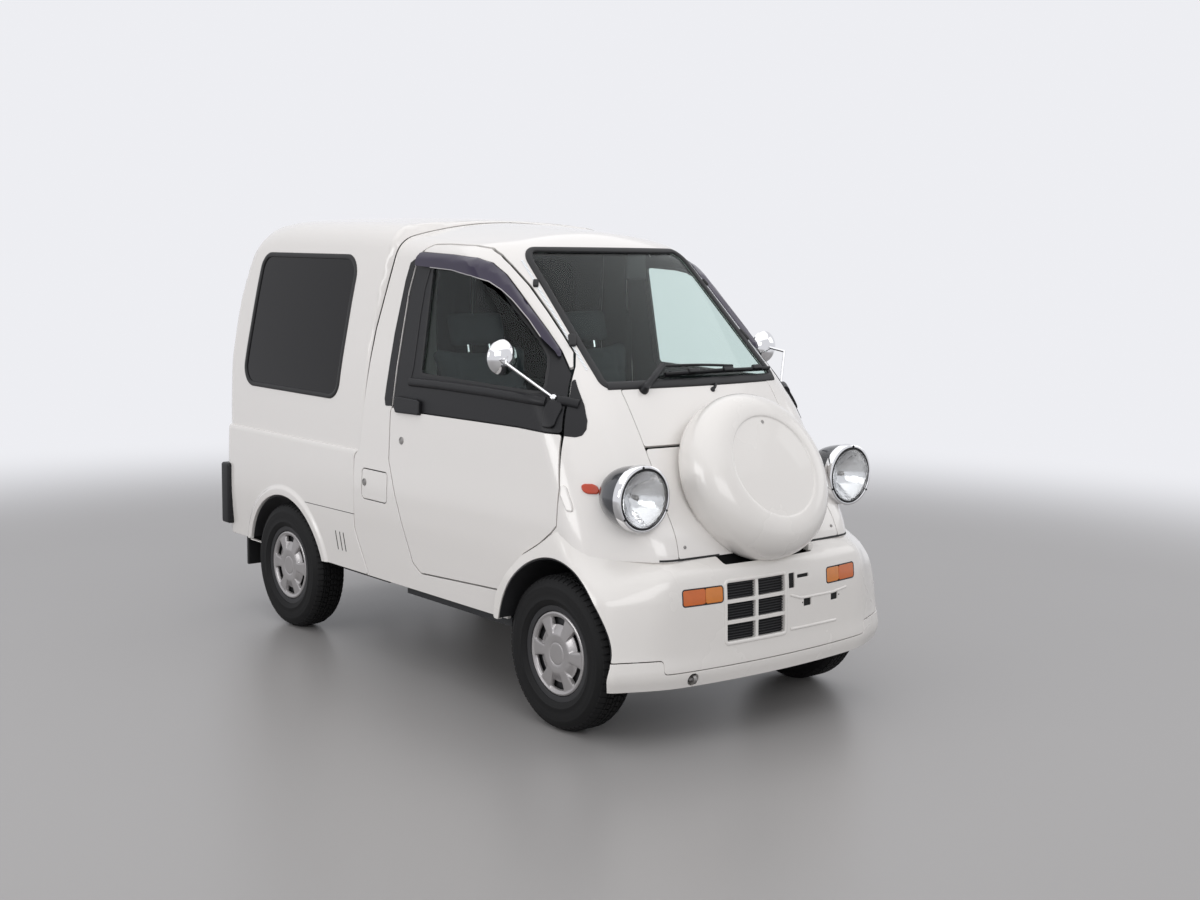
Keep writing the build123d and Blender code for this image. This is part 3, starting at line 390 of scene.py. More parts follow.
def panel_mesh(form, loops, centre, facing, thick, edge=0.0015, grid=0.022, lift=None, inset=0.0, extra=()):
    """A closed sheet on a form, cut along loops, the first outside and the rest holes, with rounded edges.

    lift(points) raises the surface along its slope; extra lines become edges of its mesh.
    """
    centre, facing = np.array(centre, float), unit(np.array(facing, float))
    side = unit(np.cross(facing, (0.0, 0.0, 1.0) if abs(facing[2]) < 0.9 else (1.0, 0.0, 0.0)))
    other = np.cross(facing, side)

    def flat(p):
        d = unit(p - centre)
        return np.stack([d @ side, d @ other], 1) / (1 + d @ facing)[:, None]

    def surface(p):
        height = lift(p)[:, None] if lift else 0.0
        return p + slope_of(form, p) * (height - inset)

    def surface_normal(p):
        n = slope_of(form, p)
        if not lift:
            return n
        t = unit(np.cross(n, np.where(np.abs(n[:, :1]) < 0.8, (1.0, 0.0, 0.0), (0.0, 1.0, 0.0))))
        b = np.cross(n, t)
        h = 1.5e-3
        along = surface(settled(form, p + t * h, 2)) - surface(settled(form, p - t * h, 2))
        across = surface(settled(form, p + b * h, 2)) - surface(settled(form, p - b * h, 2))
        return unit(np.cross(along, across))

    flats = [flat(loop) for loop in loops]
    rings, outward = [], []
    for k, loop in enumerate(loops):
        n = slope_of(form, loop)
        ahead = unit(np.roll(loop, -1, axis=0) - np.roll(loop, 1, axis=0))
        inward = unit(np.cross(n, ahead))
        test = within(flat(settled(form, loop + inward * 2e-4, 2)), flats[k])
        if (test.mean() > 0.5) != (k == 0):
            inward = -inward
        rings.append(settled(form, loop + inward * edge, 3))
        outward.append(-inward)
    flat_rings = [flat(ring) for ring in rings]

    everything = np.concatenate(loops[:1] + list(extra))
    low, high = everything.min(0) - 0.02, everything.max(0) + 0.02
    fill = spread_on(form, low, high, centre, grid)
    q = flat(fill)
    keep = within(q, flat_rings[0])
    for hole in flat_rings[1:]:
        keep &= ~within(q, hole)
    fill = fill[keep]
    lines = [line for line in extra if len(line)]
    fixed = np.concatenate(rings + lines)
    tree = KDTree(len(fixed))
    for i, p in enumerate(fixed):
        tree.insert(p, i)
    tree.balance()
    fill = np.array([p for p in fill if tree.find(p)[2] > 0.6 * grid]).reshape(-1, 3)

    top = np.concatenate([fixed, fill])
    edges, first = [], 0
    for ring in rings:
        count = len(ring)
        edges += [(first + i, first + (i + 1) % count) for i in range(count)]
        first += count
    for line in lines:
        edges += [(first + i, first + i + 1) for i in range(len(line) - 1)]
        first += len(line)
    flat_top = flat(top)
    _, _, tris, came_from, _, _ = delaunay_2d_cdt([Vector(v) for v in flat_top], edges, [], 0, 1e-10)
    back_to = [c[0] if c else -1 for c in came_from]
    tris = np.array([[back_to[i] for i in t] for t in tris if len(t) == 3])
    tris = tris[(tris >= 0).all(1)]
    middle = flat_top[tris].mean(1)
    keep = within(middle, flat_rings[0])
    for hole in flat_rings[1:]:
        keep &= ~within(middle, hole)
    tris = tris[keep]

    n_top = surface_normal(top)
    skin = surface(top)
    facing_out = np.cross(skin[tris[:, 1]] - skin[tris[:, 0]], skin[tris[:, 2]] - skin[tris[:, 0]])
    flip = (facing_out * n_top[tris].mean(1)).sum(1) < 0
    tris[flip] = tris[flip][:, ::-1]
    size = (facing_out * facing_out).sum(1)
    tris = tris[size > 1e-16]

    count = sum(len(ring) for ring in rings)
    rim_n = np.concatenate([slope_of(form, loop) for loop in loops])
    rim = np.concatenate([surface(loop) for loop in loops])
    out = np.concatenate(outward)
    bend = 1 - math.sqrt(0.5)
    mid = rim - out * edge * bend - rim_n * edge * bend
    low_rim = rim - rim_n * edge
    back = skin - n_top * thick
    back[:count] = rim - rim_n * thick
    all_verts = np.concatenate([skin, mid, low_rim, back])
    n_skin, n_mid = len(skin), len(skin) + count
    n_back = n_mid + count
    faces = [tuple(t) for t in tris]
    corner_normals = [n_top[i] for t in tris for i in t]
    first = 0
    bend_n = unit(rim_n + out)
    for k, ring in enumerate(rings):
        size_k = len(ring)
        ids = np.arange(size_k)
        a, b = first + ids, first + (ids + 1) % size_k
        levels = [(0, n_top), (n_skin, bend_n), (n_mid, out), (n_back, out)]
        forward = (np.cross(all_verts[b] - all_verts[a], rim_n[a]) * out[a]).sum() < 0
        for (upper, upper_n), (lower, lower_n) in zip(levels[:-1], levels[1:]):
            for i, j in zip(a, b):
                quad = [(upper + i, upper_n[i]), (lower + i, lower_n[i]), (lower + j, lower_n[j]),
                        (upper + j, upper_n[j])]
                if forward:
                    quad.reverse()
                faces.append(tuple(v for v, _ in quad))
                corner_normals += [n for _, n in quad]
        first += size_k
    for t in tris:
        faces.append(tuple(n_back + i for i in t[::-1]))
        corner_normals += [-n_top[i] for i in t[::-1]]
    return all_verts, faces, corner_normals


def flipped(mesh):
    """The mirror image of a mesh, with its faces still pointing outwards."""
    verts, faces, normals = mesh
    turned, first = [], 0
    for f in faces:
        turned += normals[first:first + len(f)][::-1]
        first += len(f)
    return mirrored(verts), [f[::-1] for f in faces], [n * (-1.0, 1.0, 1.0) for n in turned]


def added(nodes, *kinds):
    return [nodes.new(kind) for kind in kinds]


def wired(links, *rows):
    """Links the output of a node to the input of another, for each (node, output, node, input)."""
    for source, output, target, into in rows:
        links.new(source.outputs[output], target.inputs[into])


def set_to(node, **values):
    """Sets a node's inputs, named with _ for a space."""
    for label, value in values.items():
        node.inputs[label.replace("_", " ")].default_value = value


# Finishes
def surface_detail():
    """A shared group: slow changes of tone over a surface, and its fine grain."""
    tree = bpy.data.node_groups.new("surface_detail", "ShaderNodeTree")
    for name, value in (("Tone Scale", 5.0), ("Grain Scale", 400.0), ("Grain Softness", 0.5)):
        socket = tree.interface.new_socket(name, in_out="INPUT", socket_type="NodeSocketFloat")
        socket.default_value = value
    for name in ("Tone", "Grain"):
        tree.interface.new_socket(name, in_out="OUTPUT", socket_type="NodeSocketFloat")
    nodes, links = tree.nodes, tree.links
    given, put_out = added(nodes, "NodeGroupInput", "NodeGroupOutput")
    place = nodes.new("ShaderNodeTexCoord")
    tone, grain = added(nodes, "ShaderNodeTexNoise", "ShaderNodeTexNoise")
    set_to(tone, Detail=4.0)
    set_to(grain, Detail=2.0)
    wired(links, (place, "Object", tone, "Vector"), (place, "Object", grain, "Vector"),
          (given, "Tone Scale", tone, "Scale"), (given, "Grain Scale", grain, "Scale"),
          (given, "Grain Softness", grain, "Roughness"), (tone, "Fac", put_out, "Tone"),
          (grain, "Fac", put_out, "Grain"))
    return tree


DETAIL = surface_detail()


def finish_of(name, colour, roughness, metallic=0.0, coat=0.0, tone=0.04, tone_scale=5.0, grain=0.0,
              grain_scale=400.0, clear=0.0, ior=1.45, spread=0.06, relief=0.0006):
    """A material whose colour, roughness and fine relief change a little over the surface."""
    material = bpy.data.materials.new(name)
    material.use_nodes = True
    nodes, links = material.node_tree.nodes, material.node_tree.links
    shader = nodes["Principled BSDF"]
    set_to(shader, Metallic=metallic, Coat_Weight=coat, Coat_Roughness=0.04, IOR=ior,
           Transmission_Weight=clear)
    detail = nodes.new("ShaderNodeGroup")
    detail.node_tree = DETAIL
    set_to(detail, Tone_Scale=tone_scale, Grain_Scale=grain_scale)
    mix = nodes.new("ShaderNodeMix")
    mix.data_type = "RGBA"
    mix.inputs[6].default_value = (*[c * (1 - tone) for c in colour], 1)
    mix.inputs[7].default_value = (*[min(1.0, c * (1 + tone)) for c in colour], 1)
    wired(links, (detail, "Tone", mix, 0), (mix, 2, shader, "Base Color"))
    rough = nodes.new("ShaderNodeMapRange")
    set_to(rough, To_Min=max(0.0, roughness - spread / 2), To_Max=roughness + spread / 2)
    wired(links, (detail, "Tone", rough, "Value"), (rough, "Result", shader, "Roughness"))
    if grain:
        bump = nodes.new("ShaderNodeBump")
        set_to(bump, Strength=grain, Distance=relief)
        wired(links, (detail, "Grain", bump, "Height"), (bump, "Normal", shader, "Normal"))
    return material


def glazing(name, colour, ior=1.45, shade=None, **how):
    """Glass that lets plain light through to what lies behind it."""
    material = finish_of(name, colour, 0.0, tone=0.01, clear=1.0, ior=ior, spread=0.0, **how)
    nodes, links = material.node_tree.nodes, material.node_tree.links
    shader, out = nodes["Principled BSDF"], nodes["Material Output"]
    path, through = added(nodes, "ShaderNodeLightPath", "ShaderNodeBsdfTransparent")
    through.inputs["Color"].default_value = (*(shade or colour), 1)
    either, both = added(nodes, "ShaderNodeMath", "ShaderNodeMixShader")
    either.operation = "MAXIMUM"
    wired(links, (path, "Is Shadow Ray", either, 0), (path, "Is Diffuse Ray", either, 1),
          (either, 0, both, "Fac"), (shader, "BSDF", both, 1), (through, "BSDF", both, 2),
          (both, "Shader", out, "Surface"))
    return material


WHITE = finish_of("white_body_paint", (0.80, 0.775, 0.75), 0.22, coat=0.7, tone=0.012, tone_scale=2.0,
                  grain=0.02, grain_scale=900.0)
WHITE_PLASTIC = finish_of("white_bumper_paint", (0.79, 0.765, 0.735), 0.27, coat=0.55, tone=0.015,
                          tone_scale=3.0, grain=0.03, grain_scale=700.0)
BLACK = finish_of("black_grained_plastic", (0.010, 0.010, 0.0115), 0.42, ior=1.36, tone=0.12, grain=0.3,
                  grain_scale=1300.0)
RUBBER = finish_of("black_seal_rubber", (0.012, 0.012, 0.013), 0.55, tone=0.15, grain=0.2, grain_scale=900.0)
POD_GREY = finish_of("dark_grey_lamp_shell", (0.052, 0.055, 0.062), 0.2, metallic=0.35, coat=0.5, tone=0.08)
CHROME = finish_of("bright_chrome", (0.78, 0.78, 0.79), 0.06, metallic=1.0, tone=0.02, tone_scale=30.0,
                   spread=0.04)
STEEL = finish_of("bare_steel", (0.30, 0.29, 0.28), 0.4, metallic=1.0, tone=0.15, tone_scale=25.0, grain=0.2)
CHASSIS = finish_of("black_chassis_paint", (0.022, 0.022, 0.024), 0.5, tone=0.25, tone_scale=18.0, grain=0.35,
                    grain_scale=220.0)
TYRE = finish_of("tyre_rubber", (0.007, 0.007, 0.0074), 0.66, ior=1.32, tone=0.2, tone_scale=20.0, grain=0.3,
                 grain_scale=600.0)
SILVER = finish_of("silver_cover_paint", (0.40, 0.385, 0.385), 0.32, metallic=0.55, coat=0.3, tone=0.03,
                   grain=0.05, grain_scale=1500.0)
TRIM = finish_of("grey_cab_plastic", (0.020, 0.021, 0.023), 0.6, ior=1.35, tone=0.08, grain=0.2,
                 grain_scale=900.0)
CLOTH = finish_of("grey_seat_cloth", (0.040, 0.043, 0.050), 0.85, ior=1.35, tone=0.15, tone_scale=60.0,
                  grain=0.6, grain_scale=1500.0)
FLOOR_MAT = finish_of("dark_floor_covering", (0.03, 0.031, 0.033), 0.8, tone=0.2, tone_scale=20.0, grain=0.7,
                      grain_scale=700.0)
SCREEN_GLASS = glazing("green_tinted_glass", (0.80, 0.885, 0.86), ior=1.2, shade=(0.72, 0.80, 0.77))
DARK_GLASS = finish_of("dark_privacy_glass", (0.006, 0.0057, 0.0065), 0.03, coat=0.0, ior=1.27, tone=0.05,
                       spread=0.01)
LENS = glazing("fluted_clear_lens", (0.97, 0.98, 0.98), ior=1.4, grain=0.8, grain_scale=70.0, relief=0.002)
REFLECTOR = finish_of("rippled_reflector", (0.80, 0.80, 0.81), 0.1, metallic=1.0, tone=0.02, grain=0.7,
                      grain_scale=55.0, relief=0.002)
MIRROR_GLASS = finish_of("silvered_mirror", (0.72, 0.74, 0.75), 0.03, metallic=1.0, tone=0.02, spread=0.02)
WEBBING = finish_of("belt_webbing", (0.028, 0.028, 0.03), 0.7, tone=0.2, tone_scale=200.0, grain=0.6,
                    grain_scale=1100.0)
VISOR = finish_of("purple_smoke_visor", (0.012, 0.005, 0.030), 0.1, coat=0.2, tone=0.1, spread=0.03)
AMBER = finish_of("amber_lens", (0.60, 0.125, 0.008), 0.14, coat=0.6, tone=0.1, tone_scale=40.0)
LIGHT_AMBER = finish_of("light_amber_lens", (0.66, 0.20, 0.018), 0.14, coat=0.6, tone=0.1, tone_scale=40.0)
RED = finish_of("red_lens", (0.42, 0.012, 0.012), 0.12, coat=0.6, tone=0.12, tone_scale=40.0)
MARKER_LENS = finish_of("red_orange_lens", (0.50, 0.045, 0.008), 0.14, coat=0.6, tone=0.1, tone_scale=40.0)
LINING = finish_of("dark_load_lining", (0.020, 0.019, 0.019), 0.8, ior=1.3, tone=0.1, tone_scale=8.0,
                   grain=0.06, grain_scale=300.0)
# Near-black painted shade, laid where openings, slots and recesses show only shadow
PAINTED_SHADE = finish_of("painted_shade_recess", (0.003, 0.003, 0.0035), 0.8, tone=0.2)

CAD_FINISHES = {"white_paint": WHITE, "dark_plastic": BLACK, "screen_glass": SCREEN_GLASS,
                "privacy_glass": DARK_GLASS, "lens": LENS, "amber": AMBER, "red_lens": RED, "chrome": CHROME,
                "chassis_black": CHASSIS, "steel": STEEL, "tyre": TYRE, "wheel_silver": SILVER,
                "trim_grey": TRIM, "seat_fabric": CLOTH, "white_plastic": WHITE_PLASTIC,}
slot_of = {part["node"]: part["material_slot"] for part in frame["record"]["subparts"]}
for node_name, node in frame["nodes"].items():
    node.data.materials.clear()
    node.data.materials.append(CAD_FINISHES[slot_of[node_name]])
for node_name in ("floor_pan", "wheel_houses"):
    frame["nodes"][node_name].data.materials[0] = FLOOR_MAT if node_name == "floor_pan" else CHASSIS


# Points inside each form, from which its lines and sheets are seen, and the ways that sheets face
DOOR_CORE, NOSE_CORE, BUMPER_CORE = (0.0, 0.5, 0.95), (0.0, 0.3, 0.85), (0.0, 0.05, 0.42)
BED_CORE, BOX_CORE, GATE_CORE = (0.0, 1.75, 0.45), (0.0, 1.6, 1.25), (0.0, 1.7, 1.1)
LIP_CORE = (0.0, 0.05, 0.3)
SCREEN_CORE_Y, NOSE_CORE_Y, BUMPER_CORE_Y, LIP_CORE_Y = 0.95, 0.3, -0.1, -0.05
GATE_CORE_Y, BED_CORE_Y = 1.7, 1.9
LEFT, AHEAD, BACK, UP = (1.0, 0.0, 0.0), (0.0, -1.0, 0.0), (0.0, 1.0, 0.0), (0.0, 0.0, 1.0)
CAB_FACING, SCREEN_FACING, NOSE_FACING = (0.0, -0.6, 0.8), (0.0, -0.8, 0.6), (0.0, -1.0, 0.2)
DOOR_BODIES, FIXED = ("door_left", "door_right"), ("body", "body")
HALF_GAP, HALF_JOIN = 0.0028, 0.0015
LINE_STEP = 0.012
GLASS_SHEET = {"thick": 0.005, "inset": 0.002, "edge": 0.001}
LINING_SHEET = {"thick": 0.003, "inset": 0.0145, "edge": 0.0005, "grid": 0.035}
# The join between cab and box leaves the sides for the roof at this height, seen from this core
JOIN_BEND_Z, JOIN_CORE_Z, JOIN_POINTS = 1.44, 1.2, 90
SHOULDER = 0.022


# Lines on the body
def seam_line(form, shift, low_z):
    """The join between the cab and the load box, from the left side over the roof to the right."""
    z = np.arange(low_z, JOIN_BEND_Z, LINE_STEP)
    seam_y = seam_at(z) + shift
    left = seen_from_side(form, np.column_stack([seam_y, z]))
    turn = math.atan2(left[-1][0], left[-1][2] - JOIN_CORE_Z)
    angles = np.linspace(turn, -turn, JOIN_POINTS)[1:-1]
    direction = np.column_stack([np.sin(angles), np.zeros(len(angles)), np.cos(angles)])
    over = np.tile((0.0, 1.1, 1.6), (len(angles), 1))
    for _ in range(4):
        y = seam_at(over[:, 2]) + shift
        over = cast(form, np.column_stack([np.zeros(len(y)), y, np.full(len(y), JOIN_CORE_Z)]), direction)
    return np.concatenate([left, over, mirrored(left[::-1])])


def arc(middle, radius, start, end, step=0.012):
    """Points of a circle's arc seen from the side; 0 degrees points back and 90 up."""
    angles = np.radians(np.linspace(start, end, max(3, int(abs(math.radians(end - start)) * radius / step))))
    return np.column_stack([middle[0] + radius * np.cos(angles), middle[1] + radius * np.sin(angles)])


def side_line(form, points, radius=0.0):
    return seen_from_side(form, divided(rounded(points, radius, closed=False), closed=False))


def front_line(form, points, radius=0.0, core_y=NOSE_CORE_Y):
    return seen_from_end(form, divided(rounded(points, radius, closed=False), closed=False), -1, core_y)


def side_loop(form, points, radius, by=0.0, side=1):
    return seen_from_side(form, divided(grown(rounded(points, radius), by)), side)


def end_loop(form, points, radius, by=0.0, end=-1, core_y=NOSE_CORE_Y):
    return seen_from_end(form, divided(grown(rounded(points, radius), by)), end, core_y)


def joined(*lines):
    """Lines end to end, without repeated points."""
    found = [lines[0]]
    for line in lines[1:]:
        start = 1 if np.linalg.norm(line[0] - found[-1][-1]) < 0.004 else 0
        found.append(line[start:])
    whole = np.concatenate(found)
    if np.linalg.norm(whole[0] - whole[-1]) < 0.004:
        whole = whole[:-1]
    return whole


def outward(faces, verts):
    """Faces turned so that a closed mesh has its outside out."""
    v = np.asarray(verts, float)
    total = 0.0
    for f in faces:
        for i in range(1, len(f) - 1):
            total += v[f[0]] @ np.cross(v[f[i]], v[f[i + 1]])
    return faces if total > 0 else [tuple(f[::-1]) for f in faces]


def swept_faces(rings, k, closed=False):
    """Faces between rings of k points each, with both ends shut unless the last ring meets the first."""
    faces = []
    for i in range(rings if closed else rings - 1):
        j = (i + 1) % rings
        for m in range(k):
            faces.append((i * k + m, i * k + (m + 1) % k, j * k + (m + 1) % k, j * k + m))
    if not closed:
        faces += [tuple(range(k))[::-1], tuple((rings - 1) * k + m for m in range(k))]
    return faces


def bead_mesh(form, line, profile, closed=False):
    """A strip with a closed (across, up) profile in metres, swept along a line on a form."""
    profile = np.array(profile, float)
    n = slope_of(form, line)
    if closed:
        t = unit(np.roll(line, -1, axis=0) - np.roll(line, 1, axis=0))
    else:
        t = unit(np.gradient(line, axis=0))
    b = unit(np.cross(n, t))
    verts = line[:, None, :] + b[:, None, :] * profile[None, :, :1] + n[:, None, :] * profile[None, :, 1:]
    verts = verts.reshape(-1, 3)
    return verts, outward(swept_faces(len(line), len(profile), closed), verts)


def mirror_mesh(mesh):
    return mirrored(mesh[0]), [f[::-1] for f in mesh[1]]


def piece(name, mesh, material, body="body", slot="dark_plastic", replaces=(), angle=35):
    made = finished(name, mesh[0], mesh[1], material, body, slot, angle=angle)
    if replaces:
        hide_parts(*replaces)
    return made


def pair(name, mesh, material, bodies, slot="dark_plastic", replaces=(), angle=35):
    """A piece on the left side and its mirror image on the right."""
    for side, body, shape in zip(("left", "right"), bodies, (mesh, mirror_mesh(mesh))):
        piece(f"{name}_{side}", shape, material, body, slot, [node.format(side) for node in replaces], angle)


def bead(name, form, line, profile, material, body="body", slot="dark_plastic", closed=False):
    piece(name, bead_mesh(form, line, profile, closed), material, body, slot)


def bead_pair(name, form, line, profile, material, bodies, slot="dark_plastic", closed=False):
    pair(name, bead_mesh(form, line, profile, closed), material, bodies, slot)


def half_round(width, height, sink=0.002, steps=6):
    """A low crowned profile that is sunk a little into what it lies on."""
    angles = np.linspace(0, math.pi, steps + 1)
    top = [(width / 2 * math.cos(a), height * math.sin(a)) for a in angles]
    return [(width / 2, -sink)] + top + [(-width / 2, -sink)]


def turned_mesh(profile, place, axis, steps=64):
    """A turned piece from a (radius, along) profile. A profile that starts and ends on the axis is closed."""
    axis = unit(np.array(axis, float))
    u = unit(np.cross(axis, (0, 0, 1) if abs(axis[2]) < 0.9 else (1, 0, 0)))
    v = np.cross(axis, u)
    place = np.array(place, float)
    verts, rows = [], []
    for r, h in profile:
        if r < 1e-6:
            rows.append([len(verts)] * steps)
            verts.append(place + axis * h)
            continue
        rows.append(list(range(len(verts), len(verts) + steps)))
        for k in range(steps):
            a = 2 * math.pi * k / steps
            verts.append(place + axis * h + (u * math.cos(a) + v * math.sin(a)) * r)
    ring = profile[0][0] > 1e-6
    pairs = list(zip(rows, rows[1:] + rows[:1])) if ring else list(zip(rows[:-1], rows[1:]))
    faces = []
    for low, high in pairs:
        for k in range(steps):
            m = (k + 1) % steps
            face = list(dict.fromkeys((low[k], low[m], high[m], high[k])))
            if len(face) > 2:
                faces.append(tuple(face))
    return np.array(verts), outward(faces, verts)


def sheet(name, mesh, material, body, slot, replaces):
    """A piece from a panel's mesh, which brings its own normals."""
    verts, faces, normals = mesh
    made = finished(name, verts, faces, material, body, slot, normals=normals)
    if replaces:
        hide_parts(*replaces)


def skin(name, form, loops, centre, facing, material, body, slot, replaces=(), thick=0.014, **how):
    sheet(name, panel_mesh(form, loops, centre, facing, thick, **how), material, body, slot, replaces)


def skin_pair(name, form, loops, centre, facing, material, bodies, slot, replaces=(), thick=0.014, **how):
    mesh = panel_mesh(form, loops, centre, facing, thick, **how)
    for side, shape, body in zip(("left", "right"), (mesh, flipped(mesh)), bodies):
        sheet(f"{name}_{side}", shape, material, body, slot, [node.format(side) for node in replaces])


def cab_sides(name, loops, material, bodies, slot, replaces=(), **how):
    """A sheet on the cab's left side and its mirror image on the right."""
    skin_pair(name, cab, loops, DOOR_CORE, LEFT, material, bodies, slot, replaces, **how)


def bumper_sheet(name, loops, material, slot, replaces=(), **how):
    skin(name, bumper, loops, BUMPER_CORE, AHEAD, material, "body", slot, replaces, **how)


def bumper_pair(name, loops, material, slot, replaces=(), **how):
    skin_pair(name, bumper, loops, BUMPER_CORE, AHEAD, material, FIXED, slot, replaces, **how)


def oblong(x_low, x_high, z_low, z_high):
    return [(x_low, z_low), (x_high, z_low), (x_high, z_high), (x_low, z_high)]


def screen_loop(by=0.0):
    return end_loop(cab, SCREEN, SCREEN_CORNERS, by, core_y=SCREEN_CORE_Y)


def bumper_loop(points, radius):
    return end_loop(bumper, points, radius, core_y=BUMPER_CORE_Y)


def gate_loop(points, radius, by=0.0):
    return end_loop(load_box, points, radius, by, end=1, core_y=GATE_CORE_Y)


def box_window_loop(by=0.0):
    return side_loop(load_box, SIDE_WINDOW, 0.07, by)


# Door outlines
DOOR_BELOW = [(-3, 820), (-3, 696), (26, 668), (90, 622), (174, 575), (246, 505), (300, 428), (334, 422),
              (821, 398), (872, 430), (981, 669), (1036, 800), (1040, 980)]
DOOR_SHUT = [(1026, 1010), (1019, 1106), (1013, 1267), (1004, 1439), (983, 1530), (960, 1585)]
DOOR_OVER = [(935, 1602), (905, 1614), (821, 1616), (682, 1612), (612, 1603), (560, 1580), (508, 1547),
             (409, 1474), (304, 1387), (216, 1311), (155, 1257), (122, 1209)]
DOOR_AHEAD = [(112, 1188), (80, 1119), (32, 991)]
BAND_LINE = [(35, 996), (240, 1002), (512, 1000), (825, 997), (1036, 1003)]
BLACK_TOP = [(960, 1585), (752, 1577), (617, 1567), (559, 1551), (495, 1511), (437, 1465), (350, 1394),
             (264, 1324), (187, 1259), (130, 1203)]
door_outline = DOOR_BELOW + DOOR_SHUT + DOOR_OVER + DOOR_AHEAD
white_below = DOOR_BELOW + BAND_LINE[::-1]
black_middle = BAND_LINE + DOOR_SHUT + BLACK_TOP[1:] + DOOR_AHEAD[:-1]
white_above = BLACK_TOP[::-1] + DOOR_OVER

# Cab shell: its edge follows the join, the sills, the front arches and the nose opening
cab_seam = seam_line(cab, -HALF_JOIN, SILL_Z)
sill_right = mirrored(side_line(cab, [(1190, 327), (283, 327)]))
arch_right = mirrored(seen_from_side(cab, arc(FRONT_ARCH[:2], 0.300, 6.7, 130.0)))
foot_right = mirrored(side_line(cab, [(-208, 522), (-208, 604)]))
front_right = front_line(cab, [(-545, 604), (-384, 604)])
nose_opening = front_line(cab, [(-x, z) for x, z in NOSE_EDGE] + NOSE_EDGE[::-1], 0.018)
cab_edge = joined(cab_seam, sill_right, arch_right, foot_right, front_right, nose_opening,
                  mirrored(front_right[::-1]), mirrored(foot_right[::-1]), mirrored(arch_right[::-1]),
                  mirrored(sill_right[::-1]))
door_hole = side_loop(cab, door_outline, 0.012, HALF_GAP)
screen_edge = screen_loop()
LID = oblong(1040, 1222, 632, 750)
lid_hole = side_loop(cab, LID, 0.018, 0.002, side=-1)
skin("cab_skin", cab, [cab_edge, door_hole, mirrored(door_hole)[::-1], screen_edge, lid_hole], DOOR_CORE,
     CAB_FACING, WHITE, "body", "white_paint", ["cab_shell"])
skin("fuel_lid_skin", cab, [side_loop(cab, LID, 0.017, -0.002, side=-1)], DOOR_CORE, (-1, 0, 0), WHITE,
     "fuel_lid", "white_paint", ["fuel_lid"], thick=0.006, grid=0.02)

# Doors
cab_sides("door_white_below", [side_loop(cab, white_below, 0.012, -HALF_GAP)], WHITE, DOOR_BODIES,
          "white_paint", ["door_{}_panel"])
cab_sides("door_white_frame", [side_loop(cab, white_above, 0.008, -0.0018)], WHITE, DOOR_BODIES,
          "white_paint")
window_edge = side_loop(cab, WINDOW, 0.022)
cab_sides("door_black", [side_loop(cab, black_middle, 0.010, -0.0018), window_edge], BLACK, DOOR_BODIES,
          "dark_plastic", ["door_{}_trim"], inset=0.0012)
cab_sides("door_window", [side_loop(cab, WINDOW, 0.022, 0.006)], SCREEN_GLASS, DOOR_BODIES, "screen_glass",
          ["door_{}_glass"], thick=0.004, inset=0.008, edge=0.0008)
for number, outline in enumerate((GARNISH_REAR, GARNISH_FRONT)):
    cab_sides(f"pillar_black_{number}", [side_loop(cab, outline, 0.006)], BLACK, FIXED, "dark_plastic",
              ["pillar_garnishes"], thick=0.006, inset=-0.002, edge=0.001)

# Windscreen and its rubber
skin("screen", cab, [screen_loop(-0.004)], DOOR_CORE, SCREEN_FACING, SCREEN_GLASS, "body", "screen_glass",
     ["windscreen"], thick=0.005, inset=0.004, edge=0.001)
bead("screen_rubber", cab, screen_loop(0.002), half_round(0.026, 0.006, 0.006), RUBBER, closed=True)
bead("screen_low_rubber", cab, front_line(cab, [(-394, 1149), (394, 1149)], core_y=SCREEN_CORE_Y),
     half_round(0.034, 0.0075, 0.006, 10), RUBBER)

# Nose panels
nose_low = [(-382, 606), (-372, 700), (-350, 900), (-351, 950), (351, 950), (350, 900),
            (372, 700), (382, 606)]
nose_high = [(-351, 954), (-352, 1138), (352, 1138), (351, 954)]
skin("nose_panel_low", cab, [end_loop(cab, nose_low, 0.016, -0.0022)], NOSE_CORE, NOSE_FACING, WHITE, "body",
     "white_paint", ["nose_lid"])
skin("nose_panel_high", cab, [end_loop(cab, nose_high, 0.012, -0.0022)], NOSE_CORE, NOSE_FACING, WHITE,
     "body", "white_paint", ["cowl_panel"])

# Load body
REAR_CORE = (0.35, 2.05)


def around_rear(form, z, end_x):
    """A level line from the left side round the rear corner to end_x."""
    angles = np.radians(np.linspace(0, 89, 60))
    start = np.tile((*REAR_CORE, z), (len(angles), 1))
    line = cast(form, start, np.column_stack([np.cos(angles), np.sin(angles), np.zeros(len(angles))]))
    line = line[line[:, 0] > end_x + 0.003]
    return np.concatenate([line, seen_from_end(form, np.array([[end_x, z]]), 1, BED_CORE_Y)])


bed_low_z, bed_top_z = SILL_Z + 0.001, BELT_Z - 0.001
arch_turn = math.degrees(math.asin((bed_low_z - REAR_ARCH[1]) / REAR_ARCH[2]))
seam_z = np.arange(bed_low_z, bed_top_z, LINE_STEP)
bed_seam = seen_from_side(load_bed, np.column_stack([seam_at(seam_z) + HALF_JOIN, seam_z]))
belt_y = np.arange(seam_at(bed_top_z) + HALF_JOIN, REAR_CORE[1], LINE_STEP)
belt_left = seen_from_side(load_bed, np.column_stack([belt_y, np.full(len(belt_y), bed_top_z)]))
gate_side = divided(rounded([(490, 815), (490, 612), (0, 612)], 0.04, closed=False), closed=False)
gate_low = seen_from_end(load_bed, gate_side, 1, BED_CORE_Y)
low_left = np.concatenate([
    around_rear(load_bed, bed_low_z, 0.0)[::-1],
    seen_from_side(load_bed, divided(mm([(2040, 328), (2170, 328)])[::-1], closed=False))[1:-1],
    seen_from_side(load_bed, arc(REAR_ARCH[:2], REAR_ARCH[2], arch_turn, 180 - arch_turn)),
    seen_from_side(load_bed, divided(mm([(1540, 328), (1200, 328)]), closed=False)),
])
